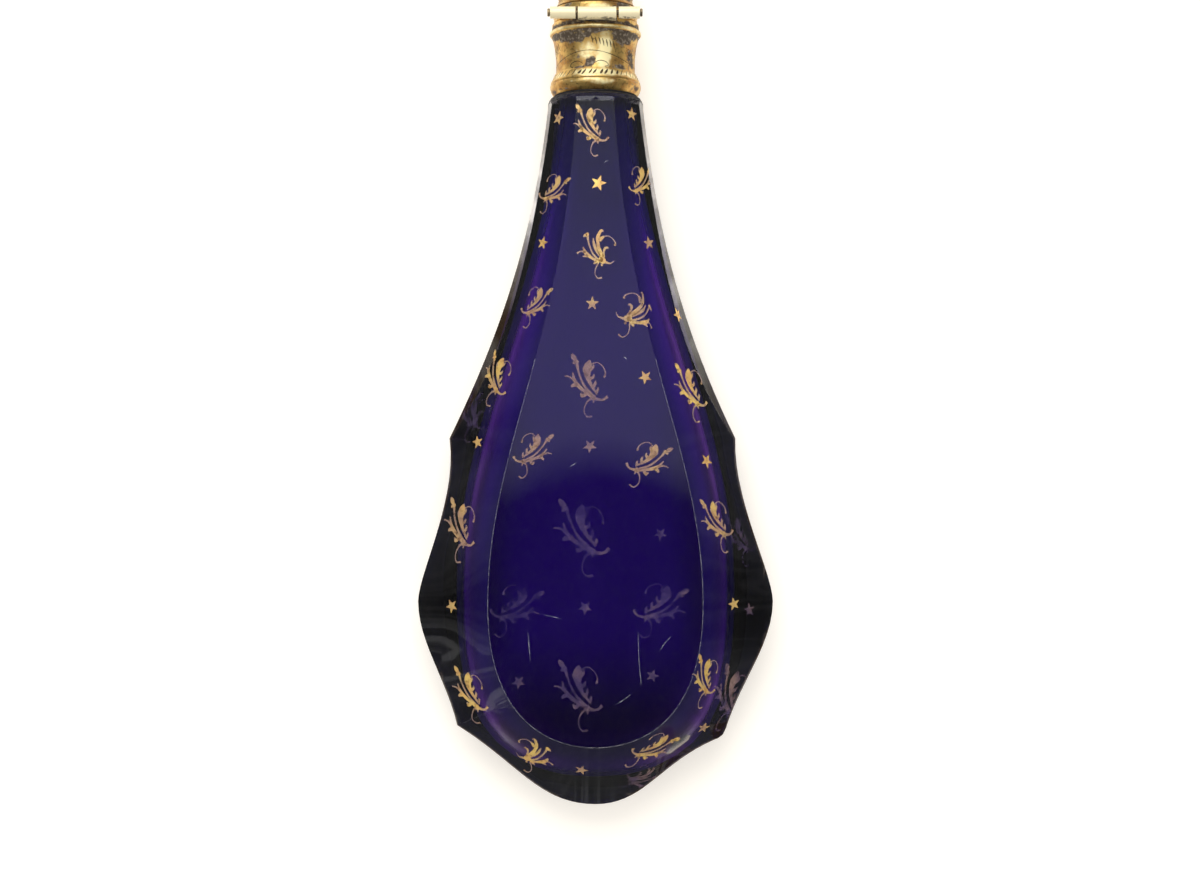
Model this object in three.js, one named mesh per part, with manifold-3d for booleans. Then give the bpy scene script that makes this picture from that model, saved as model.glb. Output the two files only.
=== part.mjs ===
// A lay-down smelling salts bottle: cut glass body, ground stopper, and a gilt collar with a hinged cap.
// Millimetres, +Z up. The bottle lies on its back panel with its mouth towards +Y.
// Heights are measured along +Y from the foot of the glass, half-widths along X from the middle.

import * as THREE from 'three';
import { mergeVertices } from 'three/addons/utils/BufferGeometryUtils.js';
import Module from 'manifold-3d';

const wasm = await Module();
wasm.setup();

// Clearances
const sleeveGap = 0.05; // between metal rings that are sleeved and soldered
const runningGap = 0.05; // pin in the collar's knuckle, plug in the bore
const seamGap = 0.15; // between the collar's top and the closed cap

// Glass body. Each side was cut by hand, so the two differ a little. The angles in below are those of the
// outline where it leaves the upper cusp, reaches the lower cusp and leaves it, in degrees outward from down.
const thickness = 13.2;
const shoulderHeight = 90.3;
const shoulderHalfWidth = 6.2;
const lobe = { halfWidth: 23.1, height: 26.4 };
const upperCuspHeight = 47.6;
const sides = {
  left: {
    upperCuspHalfWidth: 19.0, lowerCuspHalfWidth: 18.0, lowerCuspHeight: 10.3, lobeBevel: 3.2, below: [-8, -13, -58],
  },
  right: {
    upperCuspHalfWidth: 18.2, lowerCuspHalfWidth: 16.7, lowerCuspHeight: 8.9, lobeBevel: 1.3, below: [-2, -14, -70],
  },
};
const panel = { topHalfWidth: 2.4, halfWidth: 13.6, footHeight: 8.5 };
const panelCrease = { upper: 0.68, lower: 0.5 }; // how far along the panel's edge the cusps' creases meet it
const flankHollow = 0.06;
const girdle = { inset: 0.3, rise: 0.6 }; // narrow land left along the cusps
const neckBevel = { inset: 0.6, rise: 3.6, wider: 0.95, higher: 0.9 }; // wider and higher most above the cusp
const footBevel = 1.6;
const bevelSlope = 0.72; // rise of the lobe and foot bevels for each millimetre inward

// Neck and cavity
const shoulderRise = 1.65; // from the top of the flanks to the foot of the collar
const shoulderTopRadius = 5.45;
const neckRadius = 4.15;
const boreRadius = 3.0;
const boreTaper = 0.2; // the ground seat opens by this much towards the mouth
const boreLength = 8.5;
const lip = 0.25; // rounding of the mouth and of the neck's root
const panelWall = 2.9;
const rimWall = 6.1;
const floorWall = 4.7;
const cavityWidestHeight = 28;
const cavityFloorRound = 6;
const cavitySquareness = 5; // power of the belly's superellipse, 2 being a plain oval
const cavityOpening = 2.4; // how much sooner the bore opens to the full depth than to the full width

// Stopper
const plugLength = 7.5;
const stopperHead = { radius: 3.35, height: 2.35, bevel: 0.5 };

// Collar
const collarLength = 9.25;
const metal = 0.5; // wall of the sleeve and of the cap
const collarSeatRadius = 5.15; // where the rings are sleeved on
const collarFlareRadius = 5.72; // just under the top rim
const collarWaistRadius = 5.18;
const collarLedgeRadius = 5.75; // lower edge of the slanted strokes' band
const strokeBand = 1.25; // height of that band
const footBand = { radius: 5.9, footRadius: 5.45, height: 1.45 };
const topRim = { radius: 5.95, height: 1.1, drop: 0.7, coneRadius: 5.62 };
const bezel = { wall: 0.4, rise: 1, depth: 1.8 };
const mouthDrop = 0.2; // the glass ends this much below the collar's top
const cementInset = 0.6; // the plaster stops this much inside the collar's foot

// Cap
const capSkirt = { radius: 5.4, bead: 5.55, height: 1.85, beadHeight: 1.1 };
const capCoveRadius = 4.75;
const capDome = { radius: 5.15, height: 8.4, coveHeight: 1.5, topRadius: 1.5 };
const linerWall = 0.25;
const finial = { neckRadius: 0.75, neckHeight: 0.7, footRadius: 1.2, footHeight: 0.3, ballRadius: 1.45, height: 4 };
const thumb = { width: 3.2, reach: 0.64, height: 0.9 }; // reach is out from the cap's bead

// Hinge
const hinge = { offset: 6.8, radius: 0.75, pinRadius: 0.36, left: -5.7, right: 5.6, gap: 0.3, segments: 20 };
const centreKnuckle = { from: -2.2, to: 2.65 };
const hingePlate = { thickness: 0.55, halfWidth: 4.7 };
const pinHead = { radius: 0.5, length: 0.35 };

// Facets
const steps = {
  neck: 20, upperLobe: 14, lowerLobe: 12, foot: 18, cavity: 14, cavityFloor: 10, waist: 12, dome: 14, lining: 9,
};
const panelColumns = 4;
const flankColumns = 4;
const round = 28;

// Heights that follow from the sizes above
const axisDepth = thickness / 2;
const collarFoot = shoulderHeight + shoulderRise;
const collarTop = collarFoot + collarLength;
const mouth = collarTop - mouthDrop;
const seam = collarTop + seamGap / 2;
const capFoot = collarTop + seamGap;
const capShellFoot = capFoot + capSkirt.height + sleeveGap;
const capShellTop = capShellFoot + capDome.height;
const overallLength = capShellTop + sleeveGap + finial.height;

const cobaltGlass = { color: 0x241a7a, roughness: 0.08, metalness: 0 };
const gilt = { color: 0xc59c52, roughness: 0.36, metalness: 0.9 };
const plaster = { color: 0xcfc6b4, roughness: 0.9, metalness: 0 };
const steel = { color: 0x8f8a80, roughness: 0.4, metalness: 0.9 };

const lerp = THREE.MathUtils.lerp;
const smooth = (t) => THREE.MathUtils.smoothstep(t, 0, 1);

const bottle = new THREE.Group();
bottle.position.y = -overallLength / 2;

function piece(name, geometry, look, parent = bottle) {
  const mesh = new THREE.Mesh(geometry, new THREE.MeshStandardMaterial(look));
  mesh.name = name;
  parent.add(mesh);
}

// A curve between two points, given by its directions there: degrees outward from straight down
function sweep(start, startAngle, end, endAngle, startReach, endReach) {
  const [a, b] = [new THREE.Vector2(...start), new THREE.Vector2(...end)];
  const chord = a.distanceTo(b);
  const heading = (degrees) => {
    const angle = THREE.MathUtils.degToRad(degrees);
    return new THREE.Vector2(Math.sin(angle), -Math.cos(angle));
  };
  const leave = a.clone().addScaledVector(heading(startAngle), startReach * chord);
  const arrive = b.clone().addScaledVector(heading(endAngle), -endReach * chord);
  return new THREE.CubicBezierCurve(a, leave, arrive, b);
}

// One side of the body from the shoulder to the foot: outline point, panel edge point and bevel at each step
function sideStations(side) {
  const lobePoint = [lobe.halfWidth, lobe.height];
  const panelUpper = sweep([panel.topHalfWidth, shoulderHeight], 2.8, [panel.halfWidth, lobe.height], 0, 0.49, 0.31);
  const panelLower = sweep([panel.halfWidth, lobe.height], 0, [0, panel.footHeight], -90, 0.6, 0.3);
  const swell = (t) => Math.sin(Math.PI * t ** 2);
  const neckInset = (t) => lerp(neckBevel.inset, girdle.inset, t) + neckBevel.wider * swell(t);
  const lobeInset = (t, p) => Math.max(girdle.inset, p.x - lobe.halfWidth + side.lobeBevel);
  const footInset = (t, p) => Math.max(girdle.inset, footBevel - p.y);
  const bevelRise = (inset) => Math.max(girdle.rise, bevelSlope * inset);
  const upperCusp = [side.upperCuspHalfWidth, upperCuspHeight];
  const lowerCusp = [side.lowerCuspHalfWidth, side.lowerCuspHeight];
  const [lobeAngle, cuspAngle, footAngle] = side.below;
  const stretches = [
    {
      count: steps.neck,
      outline: sweep([shoulderHalfWidth, shoulderHeight], 6.5, upperCusp, 26, 0.38, 0.33),
      edge: (t) => panelUpper.getPointAt(panelCrease.upper * t),
      inset: neckInset,
      rise: (t) => lerp(neckBevel.rise, girdle.rise, t) + neckBevel.higher * swell(t),
    },
    {
      count: steps.upperLobe,
      outline: sweep(upperCusp, lobeAngle, lobePoint, 0, 0.37, 0.17),
      edge: (t) => panelUpper.getPointAt(lerp(panelCrease.upper, 1, t)),
      inset: lobeInset,
    },
    {
      count: steps.lowerLobe,
      outline: sweep(lobePoint, 0, lowerCusp, cuspAngle, 0.31, 0.36),
      edge: (t) => panelLower.getPointAt(panelCrease.lower * t),
      inset: lobeInset,
    },
    {
      count: steps.foot,
      outline: sweep(lowerCusp, footAngle, [0, 0], -90, 0.46, 0.35),
      edge: (t) => panelLower.getPointAt(lerp(panelCrease.lower, 1, t)),
      inset: footInset,
    },
  ];
  const stations = [];
  for (const { count, outline, edge, inset, rise } of stretches) {
    for (let i = stations.length ? 1 : 0; i <= count; i += 1) {
      const t = i / count;
      const point = outline.getPoint(t);
      const bevel = inset(t, point);
      stations.push({ point, edge: edge(t), bevel, rise: rise ? rise(t) : bevelRise(bevel) });
    }
  }
  return stations;
}

// The outline, ridge, flank and panel edge of one side at one station, from the girdle up to the panel
function flankPoints(station, sign) {
  const { point, edge, bevel, rise } = station;
  const inward = edge.clone().sub(point).normalize();
  const ridge = point.clone().addScaledVector(inward, bevel);
  const points = [new THREE.Vector3(sign * point.x, point.y, axisDepth)];
  for (let i = 0; i <= flankColumns; i += 1) {
    const t = i / flankColumns;
    const plan = ridge.clone().lerp(edge, t);
    const depth = lerp(axisDepth + rise, thickness, t) - flankHollow * 4 * t * (1 - t);
    points.push(new THREE.Vector3(sign * plan.x, plan.y, depth));
  }
  return points;
}

// One closed ring round the body: front panel, right side, back panel, left side
function bodyRing(leftStation, rightStation) {
  const left = flankPoints(leftStation, -1);
  const right = flankPoints(rightStation, 1);
  const mirrored = (points) => points.map((p) => new THREE.Vector3(p.x, p.y, thickness - p.z));
  const across = (from, to) =>
    Array.from({ length: panelColumns - 1 }, (_, i) => from.clone().lerp(to, (i + 1) / panelColumns));
  const last = left.length - 1;
  const rightBack = mirrored(right).slice(1);
  const leftBack = mirrored(left).slice(1).reverse();
  return [
    left[last],
    ...across(left[last], right[last]),
    ...right.toReversed(),
    ...rightBack,
    ...across(rightBack.at(-1), leftBack[0]),
    ...leftBack,
    ...left.slice(0, last),
  ];
}

const ringCount = 2 * panelColumns + 4 * (flankColumns + 1);

// A superellipse ring with as many points as the body rings, in step with them
function ovalRing(halfWidth, halfDepth, height, power = 2) {
  const shaped = (value) => Math.sign(value) * Math.abs(value) ** (2 / power);
  return Array.from({ length: ringCount }, (_, i) => {
    const angle = Math.PI / 2 - ((i - panelColumns / 2) * 2 * Math.PI) / ringCount;
    const x = halfWidth * shaped(Math.cos(angle));
    return new THREE.Vector3(x, height, axisDepth + halfDepth * shaped(Math.sin(angle)));
  });
}

// Joins rings into one closed surface; rings that shrink to a line or a point close it
function loft(rings) {
  const positions = rings.flat().flatMap((p) => [p.x, p.y, p.z]);
  const index = [];
  for (let row = 0; row + 1 < rings.length; row += 1) {
    for (let i = 0; i < ringCount; i += 1) {
      const a = row * ringCount + i;
      const b = row * ringCount + ((i + 1) % ringCount);
      index.push(a, b, b + ringCount, a, b + ringCount, a + ringCount);
    }
  }
  const geometry = new THREE.BufferGeometry();
  geometry.setAttribute('position', new THREE.Float32BufferAttribute(positions, 3));
  geometry.setIndex(index);
  const merged = mergeVertices(geometry, 1e-4);
  const kept = [];
  const all = merged.index.array;
  for (let i = 0; i < all.length; i += 3) {
    const [a, b, c] = all.slice(i, i + 3);
    if (a !== b && b !== c && c !== a) kept.push(a, b, c);
  }
  merged.setIndex(kept);
  merged.computeVertexNormals();
  return merged;
}

function seatRadius(height) {
  return boreRadius + boreTaper * Math.max(0, 1 - (mouth - height) / boreLength);
}

// From the shoulder's last body ring to the round neck, over the lip and down the ground seat
function neckRings(shoulder) {
  const blend = (height, radius, share) => {
    const target = ovalRing(radius, radius, height);
    return shoulder.map((p, i) => new THREE.Vector3(p.x, height, p.z).lerp(target[i], share));
  };
  const circle = (radius, height) => ovalRing(radius, radius, height);
  const shoulderAt = (share) => lerp(shoulderHeight, collarFoot - lip, share);
  return [
    blend(shoulderAt(0.4), shoulderHalfWidth, 0.25),
    blend(shoulderAt(0.75), lerp(shoulderHalfWidth, shoulderTopRadius, 0.4), 0.6),
    blend(shoulderAt(0.93), lerp(shoulderHalfWidth, shoulderTopRadius, 0.75), 0.85),
    circle(shoulderTopRadius, shoulderAt(1)),
    circle(neckRadius + lip, shoulderAt(1) + lip / 2),
    circle(neckRadius, collarFoot + lip),
    circle(neckRadius, mouth - lip),
    circle(neckRadius - lip, mouth),
    circle(seatRadius(mouth) + lip / 2, mouth),
    circle(seatRadius(mouth), mouth - lip / 2),
    circle(seatRadius(mouth - boreLength), mouth - boreLength),
  ];
}

function cavityRings() {
  const top = mouth - boreLength;
  const halfWidth = lobe.halfWidth - rimWall;
  const halfDepth = axisDepth - panelWall;
  const widest = [halfWidth, cavityWidestHeight];
  const upper = sweep([boreRadius, top], 5, widest, 0, 0.42, 0.36);
  const lower = sweep(widest, 0, [0, floorWall], -90, 0.5, 0.5);
  const rings = [];
  for (let i = 1; i <= steps.cavity; i += 1) {
    const t = i / steps.cavity;
    const p = upper.getPoint(t);
    const opened = smooth(cavityOpening * t);
    rings.push(ovalRing(p.x, lerp(boreRadius, halfDepth, opened), p.y, lerp(2, cavitySquareness, opened)));
  }
  for (let i = 1; i <= steps.cavityFloor; i += 1) {
    const p = lower.getPoint(i / steps.cavityFloor);
    const rounding = Math.min(1, Math.max(0, (p.y - floorWall) / cavityFloorRound));
    rings.push(ovalRing(p.x, halfDepth * Math.sqrt(1 - (1 - rounding) ** 2), p.y, cavitySquareness));
  }
  return rings;
}

function buildGlass() {
  const left = sideStations(sides.left);
  const right = sideStations(sides.right);
  const body = left.map((station, i) => bodyRing(station, right[i])).reverse();
  piece('glass_bottle', loft([...body, ...neckRings(body.at(-1)), ...cavityRings()]), cobaltGlass);
}

// Pieces turned about the neck's axis share this group; profiles are [radius, height] pairs
const turnedGroup = new THREE.Group();
turnedGroup.position.z = axisDepth;
bottle.add(turnedGroup);

const arc = (radius, height, size, from, to, count) =>
  Array.from({ length: count + 1 }, (_, i) => {
    const angle = THREE.MathUtils.degToRad(lerp(from, to, i / count));
    return [radius + size * Math.cos(angle), height + size * Math.sin(angle)];
  });

function turned(name, profile, look) {
  const points = profile.map(([r, h]) => new THREE.Vector2(r, h));
  piece(name, new THREE.LatheGeometry(points, round), look, turnedGroup);
}

function turnedRing(name, profile, look) {
  turned(name, [...profile, profile[0]], look);
}

function buildStopper() {
  const plugFoot = mouth - plugLength;
  const { radius, height, bevel } = stopperHead;
  const headFoot = mouth + seamGap;
  const plugRadius = (h) => seatRadius(h) - runningGap;
  turned('stopper', [
    [0, plugFoot],
    [plugRadius(plugFoot) - bevel, plugFoot],
    [plugRadius(plugFoot), plugFoot + bevel],
    [plugRadius(mouth), mouth - bevel / 2],
    [plugRadius(mouth), headFoot],
    [radius, headFoot + bevel],
    [radius, headFoot + height - bevel],
    [radius - bevel, headFoot + height],
    [0, headFoot + height],
  ], cobaltGlass);
}

function buildCollar() {
  const inner = collarSeatRadius - metal;
  const rimTop = collarTop - topRim.drop;
  const rimFoot = rimTop - topRim.height;
  const bandTop = collarFoot + footBand.height;
  const waistFoot = bandTop + strokeBand;
  const waistTop = rimFoot - sleeveGap;
  const waistCurve = new THREE.SplineCurve([
    new THREE.Vector2(collarLedgeRadius, bandTop + sleeveGap),
    new THREE.Vector2(lerp(collarWaistRadius, collarLedgeRadius, 0.3), lerp(bandTop, waistFoot, 0.75)),
    new THREE.Vector2(collarWaistRadius, lerp(waistFoot, waistTop, 0.22)),
    new THREE.Vector2(lerp(collarWaistRadius, collarFlareRadius, 0.35), lerp(waistFoot, waistTop, 0.66)),
    new THREE.Vector2(collarFlareRadius, waistTop),
  ]);
  turnedRing('collar_sleeve', [
    [inner, collarFoot + sleeveGap],
    [collarSeatRadius, collarFoot + sleeveGap],
    [collarSeatRadius, bandTop + sleeveGap],
    ...waistCurve.getPoints(steps.waist).map((p) => [p.x, p.y]),
    [collarSeatRadius, waistTop],
    [collarSeatRadius, collarTop],
    [inner, collarTop],
  ], gilt);

  const seat = collarSeatRadius + sleeveGap;
  const bandRound = footBand.height / 2;
  turnedRing('collar_foot_band', [
    [seat, collarFoot],
    [footBand.footRadius, collarFoot],
    ...arc(footBand.radius - bandRound, bandTop - bandRound, bandRound, -30, 80, 6),
    [seat, bandTop],
  ], gilt);
  const rimRound = topRim.height / 2;
  turnedRing('collar_top_rim', [
    [seat, rimFoot],
    ...arc(topRim.radius - rimRound, rimFoot + rimRound, rimRound, -90, 55, 7),
    [topRim.coneRadius, collarTop],
    [seat, collarTop],
  ], gilt);

  const bezelOuter = inner - sleeveGap;
  const bezelFoot = collarTop - bezel.depth;
  turnedRing('collar_bezel', [
    [bezelOuter - bezel.wall, bezelFoot],
    [bezelOuter, bezelFoot],
    [bezelOuter, collarTop + bezel.rise - bezel.wall / 2],
    [bezelOuter - bezel.wall / 2, collarTop + bezel.rise],
    [bezelOuter - bezel.wall, collarTop + bezel.rise],
  ], gilt);
  turnedRing('neck_cement', [
    [neckRadius + sleeveGap, collarFoot + cementInset],
    [inner - sleeveGap, collarFoot + cementInset],
    [inner - sleeveGap, bezelFoot - sleeveGap],
    [neckRadius + sleeveGap, bezelFoot - sleeveGap],
  ], plaster);
}

// Outer profile of the cap's dome from its foot to its top, moved inward for the lining
function domeProfile(inset, count) {
  const { radius, height, coveHeight, topRadius } = capDome;
  const foot = capShellFoot;
  const curve = new THREE.SplineCurve([
    new THREE.Vector2(capSkirt.radius - inset, foot),
    new THREE.Vector2(capCoveRadius - inset, foot + coveHeight),
    new THREE.Vector2(radius - inset, foot + 0.48 * height),
    new THREE.Vector2(0.66 * radius - inset / 2, foot + 0.86 * height - inset),
    new THREE.Vector2(topRadius, foot + height - inset),
  ]);
  return curve.getPoints(count).map((p) => [p.x, p.y]);
}

function buildCap() {
  const inner = capSkirt.radius - metal;
  const beadRound = capSkirt.beadHeight / 2;
  const rimTop = capFoot + capSkirt.height;
  turnedRing('cap_rim', [
    [inner, capFoot],
    [capSkirt.radius, capFoot],
    ...arc(capSkirt.bead - beadRound, rimTop - beadRound, beadRound, -60, 75, 6),
    [capSkirt.radius, rimTop],
    [inner, rimTop],
  ], gilt);
  const closed = (profile, top) => [...profile, [0, top]];
  const outside = closed(domeProfile(0, steps.dome), capShellTop);
  const inside = closed(domeProfile(metal, steps.lining), capShellTop - metal);
  turned('cap_shell', [...inside.toReversed(), ...outside], gilt);
  const linerInset = metal + sleeveGap;
  const linerTop = capShellTop - linerInset;
  const linerOutside = closed(domeProfile(linerInset, steps.lining), linerTop);
  const linerInside = closed(domeProfile(linerInset + linerWall, steps.lining), linerTop - linerWall);
  turned('cap_liner', [...linerInside.toReversed(), ...linerOutside], gilt);

  const { neckRadius: waist, neckHeight, footRadius, footHeight, ballRadius, height } = finial;
  const foot = capShellTop + sleeveGap;
  const ball = foot + height - ballRadius;
  turned('cap_finial', [
    [0, foot],
    [footRadius, foot],
    [footRadius, foot + footHeight],
    [waist, foot + neckHeight],
    ...arc(0, ball, ballRadius, -58, 88, 8),
    [0, foot + height],
  ], gilt);
}

// A plate with a concave edge that fits a round ring, given by its span in X and its reach along Z
function fittedPlate(fromX, toX, ringRadius, reach, height) {
  const shape = new THREE.Shape();
  const edge = (x) => Math.sqrt(Math.max(0, ringRadius ** 2 - x ** 2));
  shape.moveTo(fromX, reach);
  for (let i = 0; i <= 10; i += 1) {
    const x = lerp(fromX, toX, i / 10);
    shape.lineTo(x, edge(x));
  }
  shape.lineTo(toX, reach);
  const plate = new THREE.ExtrudeGeometry(shape, { depth: height, bevelEnabled: false, steps: 1 });
  return plate.rotateX(Math.PI / 2).translate(0, height, 0);
}

function manifoldOf(geometry) {
  const bare = geometry.clone();
  bare.deleteAttribute('normal');
  bare.deleteAttribute('uv');
  const merged = mergeVertices(bare.index ? bare.toNonIndexed() : bare, 1e-4);
  const kept = new Uint32Array(merged.index.array);
  return new wasm.Manifold(new wasm.Mesh({
    numProp: 3, vertProperties: merged.attributes.position.array, triVerts: kept,
  }));
}

function geometryOf(manifold) {
  const mesh = manifold.getMesh();
  const geometry = new THREE.BufferGeometry();
  geometry.setAttribute('position', new THREE.BufferAttribute(mesh.vertProperties, 3));
  geometry.setIndex(new THREE.BufferAttribute(mesh.triVerts, 1));
  geometry.computeVertexNormals();
  return geometry;
}

function hingeRod(radius, from, to) {
  const rod = new THREE.CylinderGeometry(radius, radius, to - from, hinge.segments);
  return rod.rotateZ(Math.PI / 2).translate((from + to) / 2, seam, hinge.offset);
}

// A knuckle tube with the plate that is soldered to its ring
function knuckle(name, from, to, plate, bore) {
  const tube = manifoldOf(hingeRod(hinge.radius, from, to)).add(manifoldOf(plate));
  const hole = manifoldOf(hingeRod(bore, from - 1, to + 1));
  piece(name, geometryOf(tube.subtract(hole)), gilt, turnedGroup);
}

function buildHinge() {
  const { left, right, gap, pinRadius, offset } = hinge;
  const { thickness: plateThickness, halfWidth } = hingePlate;
  const { from, to } = centreKnuckle;
  const collarPlate = fittedPlate(from, to, topRim.radius + sleeveGap, offset, plateThickness)
    .translate(0, seam - seamGap - plateThickness, 0);
  knuckle('collar_knuckle', from, to, collarPlate, pinRadius + runningGap);
  const capPlate = (start, end) =>
    fittedPlate(start, end, capSkirt.radius + sleeveGap, offset, plateThickness).translate(0, seam + seamGap, 0);
  const leftEnd = from - gap;
  const rightEnd = to + gap;
  knuckle('cap_knuckle_left', left, leftEnd, capPlate(-halfWidth, leftEnd), pinRadius + runningGap / 2);
  knuckle('cap_knuckle_right', rightEnd, right, capPlate(rightEnd, halfWidth), pinRadius + runningGap / 2);

  const heads = [[left - pinHead.length, left - sleeveGap], [right + sleeveGap, right + pinHead.length]];
  const pin = heads.reduce(
    (rod, [start, end]) => rod.add(manifoldOf(hingeRod(pinHead.radius, start, end))),
    manifoldOf(hingeRod(pinRadius, left - pinHead.length / 2, right + pinHead.length / 2)),
  );
  piece('hinge_pin', geometryOf(pin), steel, turnedGroup);
}

function buildThumbpiece() {
  const ringRadius = capSkirt.bead + sleeveGap;
  const half = thumb.width / 2;
  const shape = new THREE.Shape();
  const angle = Math.asin(half / ringRadius);
  shape.absarc(0, 0, ringRadius, -angle, angle, false);
  const rootX = ringRadius * Math.cos(angle);
  shape.quadraticCurveTo(2 * (ringRadius + thumb.reach) - rootX, 0, rootX, -half);
  const tab = new THREE.ExtrudeGeometry(shape, { depth: thumb.height, bevelEnabled: false, curveSegments: 10 });
  tab.rotateX(-Math.PI / 2).rotateY(Math.PI / 2).translate(0, capFoot, 0);
  piece('thumbpiece', tab, gilt, turnedGroup);
}

buildGlass();
buildStopper();
buildCollar();
buildCap();
buildHinge();
buildThumbpiece();

export default bottle;
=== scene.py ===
# A lay-down smelling salts bottle of cut cobalt glass with a gilt collar and a hinged cap, as it lies on a
# white table. Metres, +Z up: the bottle rests on its back panel with its mouth towards +Y.

import math
import random
import bmesh
import bpy
from mathutils import Matrix, Vector
from mathutils.bvhtree import BVHTree


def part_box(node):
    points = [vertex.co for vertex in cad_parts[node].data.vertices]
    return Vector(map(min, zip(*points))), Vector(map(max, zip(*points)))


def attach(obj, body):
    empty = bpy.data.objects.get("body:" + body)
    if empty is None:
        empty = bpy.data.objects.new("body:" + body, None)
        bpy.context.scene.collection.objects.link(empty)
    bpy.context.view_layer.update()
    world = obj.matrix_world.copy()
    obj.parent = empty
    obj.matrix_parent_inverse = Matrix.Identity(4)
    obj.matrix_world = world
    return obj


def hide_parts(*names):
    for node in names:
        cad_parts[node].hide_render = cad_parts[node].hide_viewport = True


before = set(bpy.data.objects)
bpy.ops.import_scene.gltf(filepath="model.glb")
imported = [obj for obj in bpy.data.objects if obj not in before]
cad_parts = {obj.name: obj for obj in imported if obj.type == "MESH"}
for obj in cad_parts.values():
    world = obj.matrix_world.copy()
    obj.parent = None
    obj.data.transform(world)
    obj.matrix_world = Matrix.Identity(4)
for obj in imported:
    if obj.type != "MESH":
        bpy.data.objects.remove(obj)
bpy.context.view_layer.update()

# The camera looks straight down on the bottle, a little below its middle, so the cap runs out of the
# picture at the top.
mm = 0.001
glass_low, glass_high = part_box("glass_bottle")
foot = glass_low.y
axis_height = glass_high.z / 2


def level(height):
    """Where a height in millimetres above the bottle's foot lies along Y."""
    return foot + height * mm


camera = bpy.data.objects.new("camera", bpy.data.cameras.new("camera"))
bpy.context.collection.objects.link(camera)
camera.location = (0.585 * mm, level(46.8), axis_height + 227.5 * mm)
camera.data.lens = 52.5
camera.data.sensor_width = 36
camera.data.clip_start = 0.005
bpy.context.scene.camera = camera
bpy.context.scene.view_settings.view_transform = "Standard"


# The table: a sheet of white card under the bottle. It shows white to the camera and in the glass, and
# still takes the bottle's shadow. Through the glass and in mirrors it also carries painted light: a painted
# glow, painted shade and painted reflections.
def add_object(name, bm):
    mesh = bpy.data.meshes.new(name)
    bm.to_mesh(mesh)
    bm.free()
    piece = bpy.data.objects.new(name, mesh)
    bpy.context.collection.objects.link(piece)
    return piece


def new_material(name):
    material = bpy.data.materials.new(name)
    material.use_nodes = True
    tree = material.node_tree
    tree.nodes.clear()
    output = tree.nodes.new("ShaderNodeOutputMaterial")
    return material, tree, output


def join(source, socket):
    source.id_data.links.new(source, socket)


def maths(operation, *values, clamp=False):
    tree = next(value for value in values if isinstance(value, bpy.types.NodeSocket)).id_data
    node = tree.nodes.new("ShaderNodeMath")
    node.operation = operation
    node.use_clamp = clamp
    for socket, value in zip(node.inputs, values):
        if isinstance(value, bpy.types.NodeSocket):
            join(value, socket)
        else:
            socket.default_value = value
    return node.outputs[0]


def times(first, second):
    return maths("MULTIPLY", first, second)


def scaled(value, factor, shift, clamp=False):
    return maths("MULTIPLY_ADD", value, factor, shift, clamp=clamp)


def fade(value, start, end):
    """0 where the value is at its start, 1 where it is at its end."""
    return maths("MULTIPLY", maths("SUBTRACT", value, start), 1 / (end - start), clamp=True)


def noise(tree, scale, detail, stretch=(1, 1, 1)):
    place = tree.nodes.new("ShaderNodeTexCoord")
    stretched = tree.nodes.new("ShaderNodeMapping")
    stretched.inputs["Scale"].default_value = stretch
    join(place.outputs["Object"], stretched.inputs["Vector"])
    node = tree.nodes.new("ShaderNodeTexNoise")
    node.inputs["Scale"].default_value = scale
    node.inputs["Detail"].default_value = detail
    join(stretched.outputs["Vector"], node.inputs["Vector"])
    return node.outputs["Fac"]


def object_axes(tree):
    place = tree.nodes.new("ShaderNodeTexCoord")
    axes = tree.nodes.new("ShaderNodeSeparateXYZ")
    join(place.outputs["Object"], axes.inputs[0])
    return axes.outputs


def matt(tree, colour):
    node = tree.nodes.new("ShaderNodeBsdfDiffuse")
    node.inputs["Color"].default_value = (*colour, 1)
    return node.outputs[0]


def glowing(tree, colour, glow_colour, strength):
    """A matt surface that also gives off a glow."""
    glow = tree.nodes.new("ShaderNodeEmission")
    glow.inputs["Color"].default_value = (*glow_colour, 1)
    join(strength, glow.inputs["Strength"])
    both = tree.nodes.new("ShaderNodeAddShader")
    join(matt(tree, colour), both.inputs[0])
    join(glow.outputs[0], both.inputs[1])
    return both.outputs[0]


def layered(factor, below, above):
    mixer = factor.id_data.nodes.new("ShaderNodeMixShader")
    for socket, layer in zip(mixer.inputs, (factor, below, above)):
        join(layer, socket)
    return mixer.outputs[0]


table_half_size = 1.5
table_drop = 0.1 * mm
# Painted light on the card: glass_glow is a painted glow seen only through the glass, mirror_glow and
# window_glow are painted reflections seen only in mirrors; camera_glow keeps the card evenly white.
camera_glow, mirror_glow, window_glow = 0.32, 0.4, 1.5
glass_glow = (0.95, 1.2)  # for rays that come through the glass, below and above the cloth's edge
neck_shade, streak_shade = 0.3, 0.6
foot_shade, flank_shade = 0.8, 0.62
table_bm = bmesh.new()
bmesh.ops.create_grid(table_bm, x_segments=1, y_segments=1, size=table_half_size)
bmesh.ops.translate(table_bm, verts=table_bm.verts, vec=(0, 0, -table_drop))
table = add_object("table", table_bm)
card, tree, output = new_material("white card")
rays = tree.nodes.new("ShaderNodeLightPath").outputs
axes = object_axes(tree)
sideways = maths("ABSOLUTE", axes["X"])
upward = fade(axes["Y"], camera.location.y - 6 * mm, camera.location.y + 6 * mm)
lit = scaled(upward, glass_glow[1] - glass_glow[0], glass_glow[0])
painted_glow_through_glass = times(rays["Is Transmission Ray"], lit)
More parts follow.
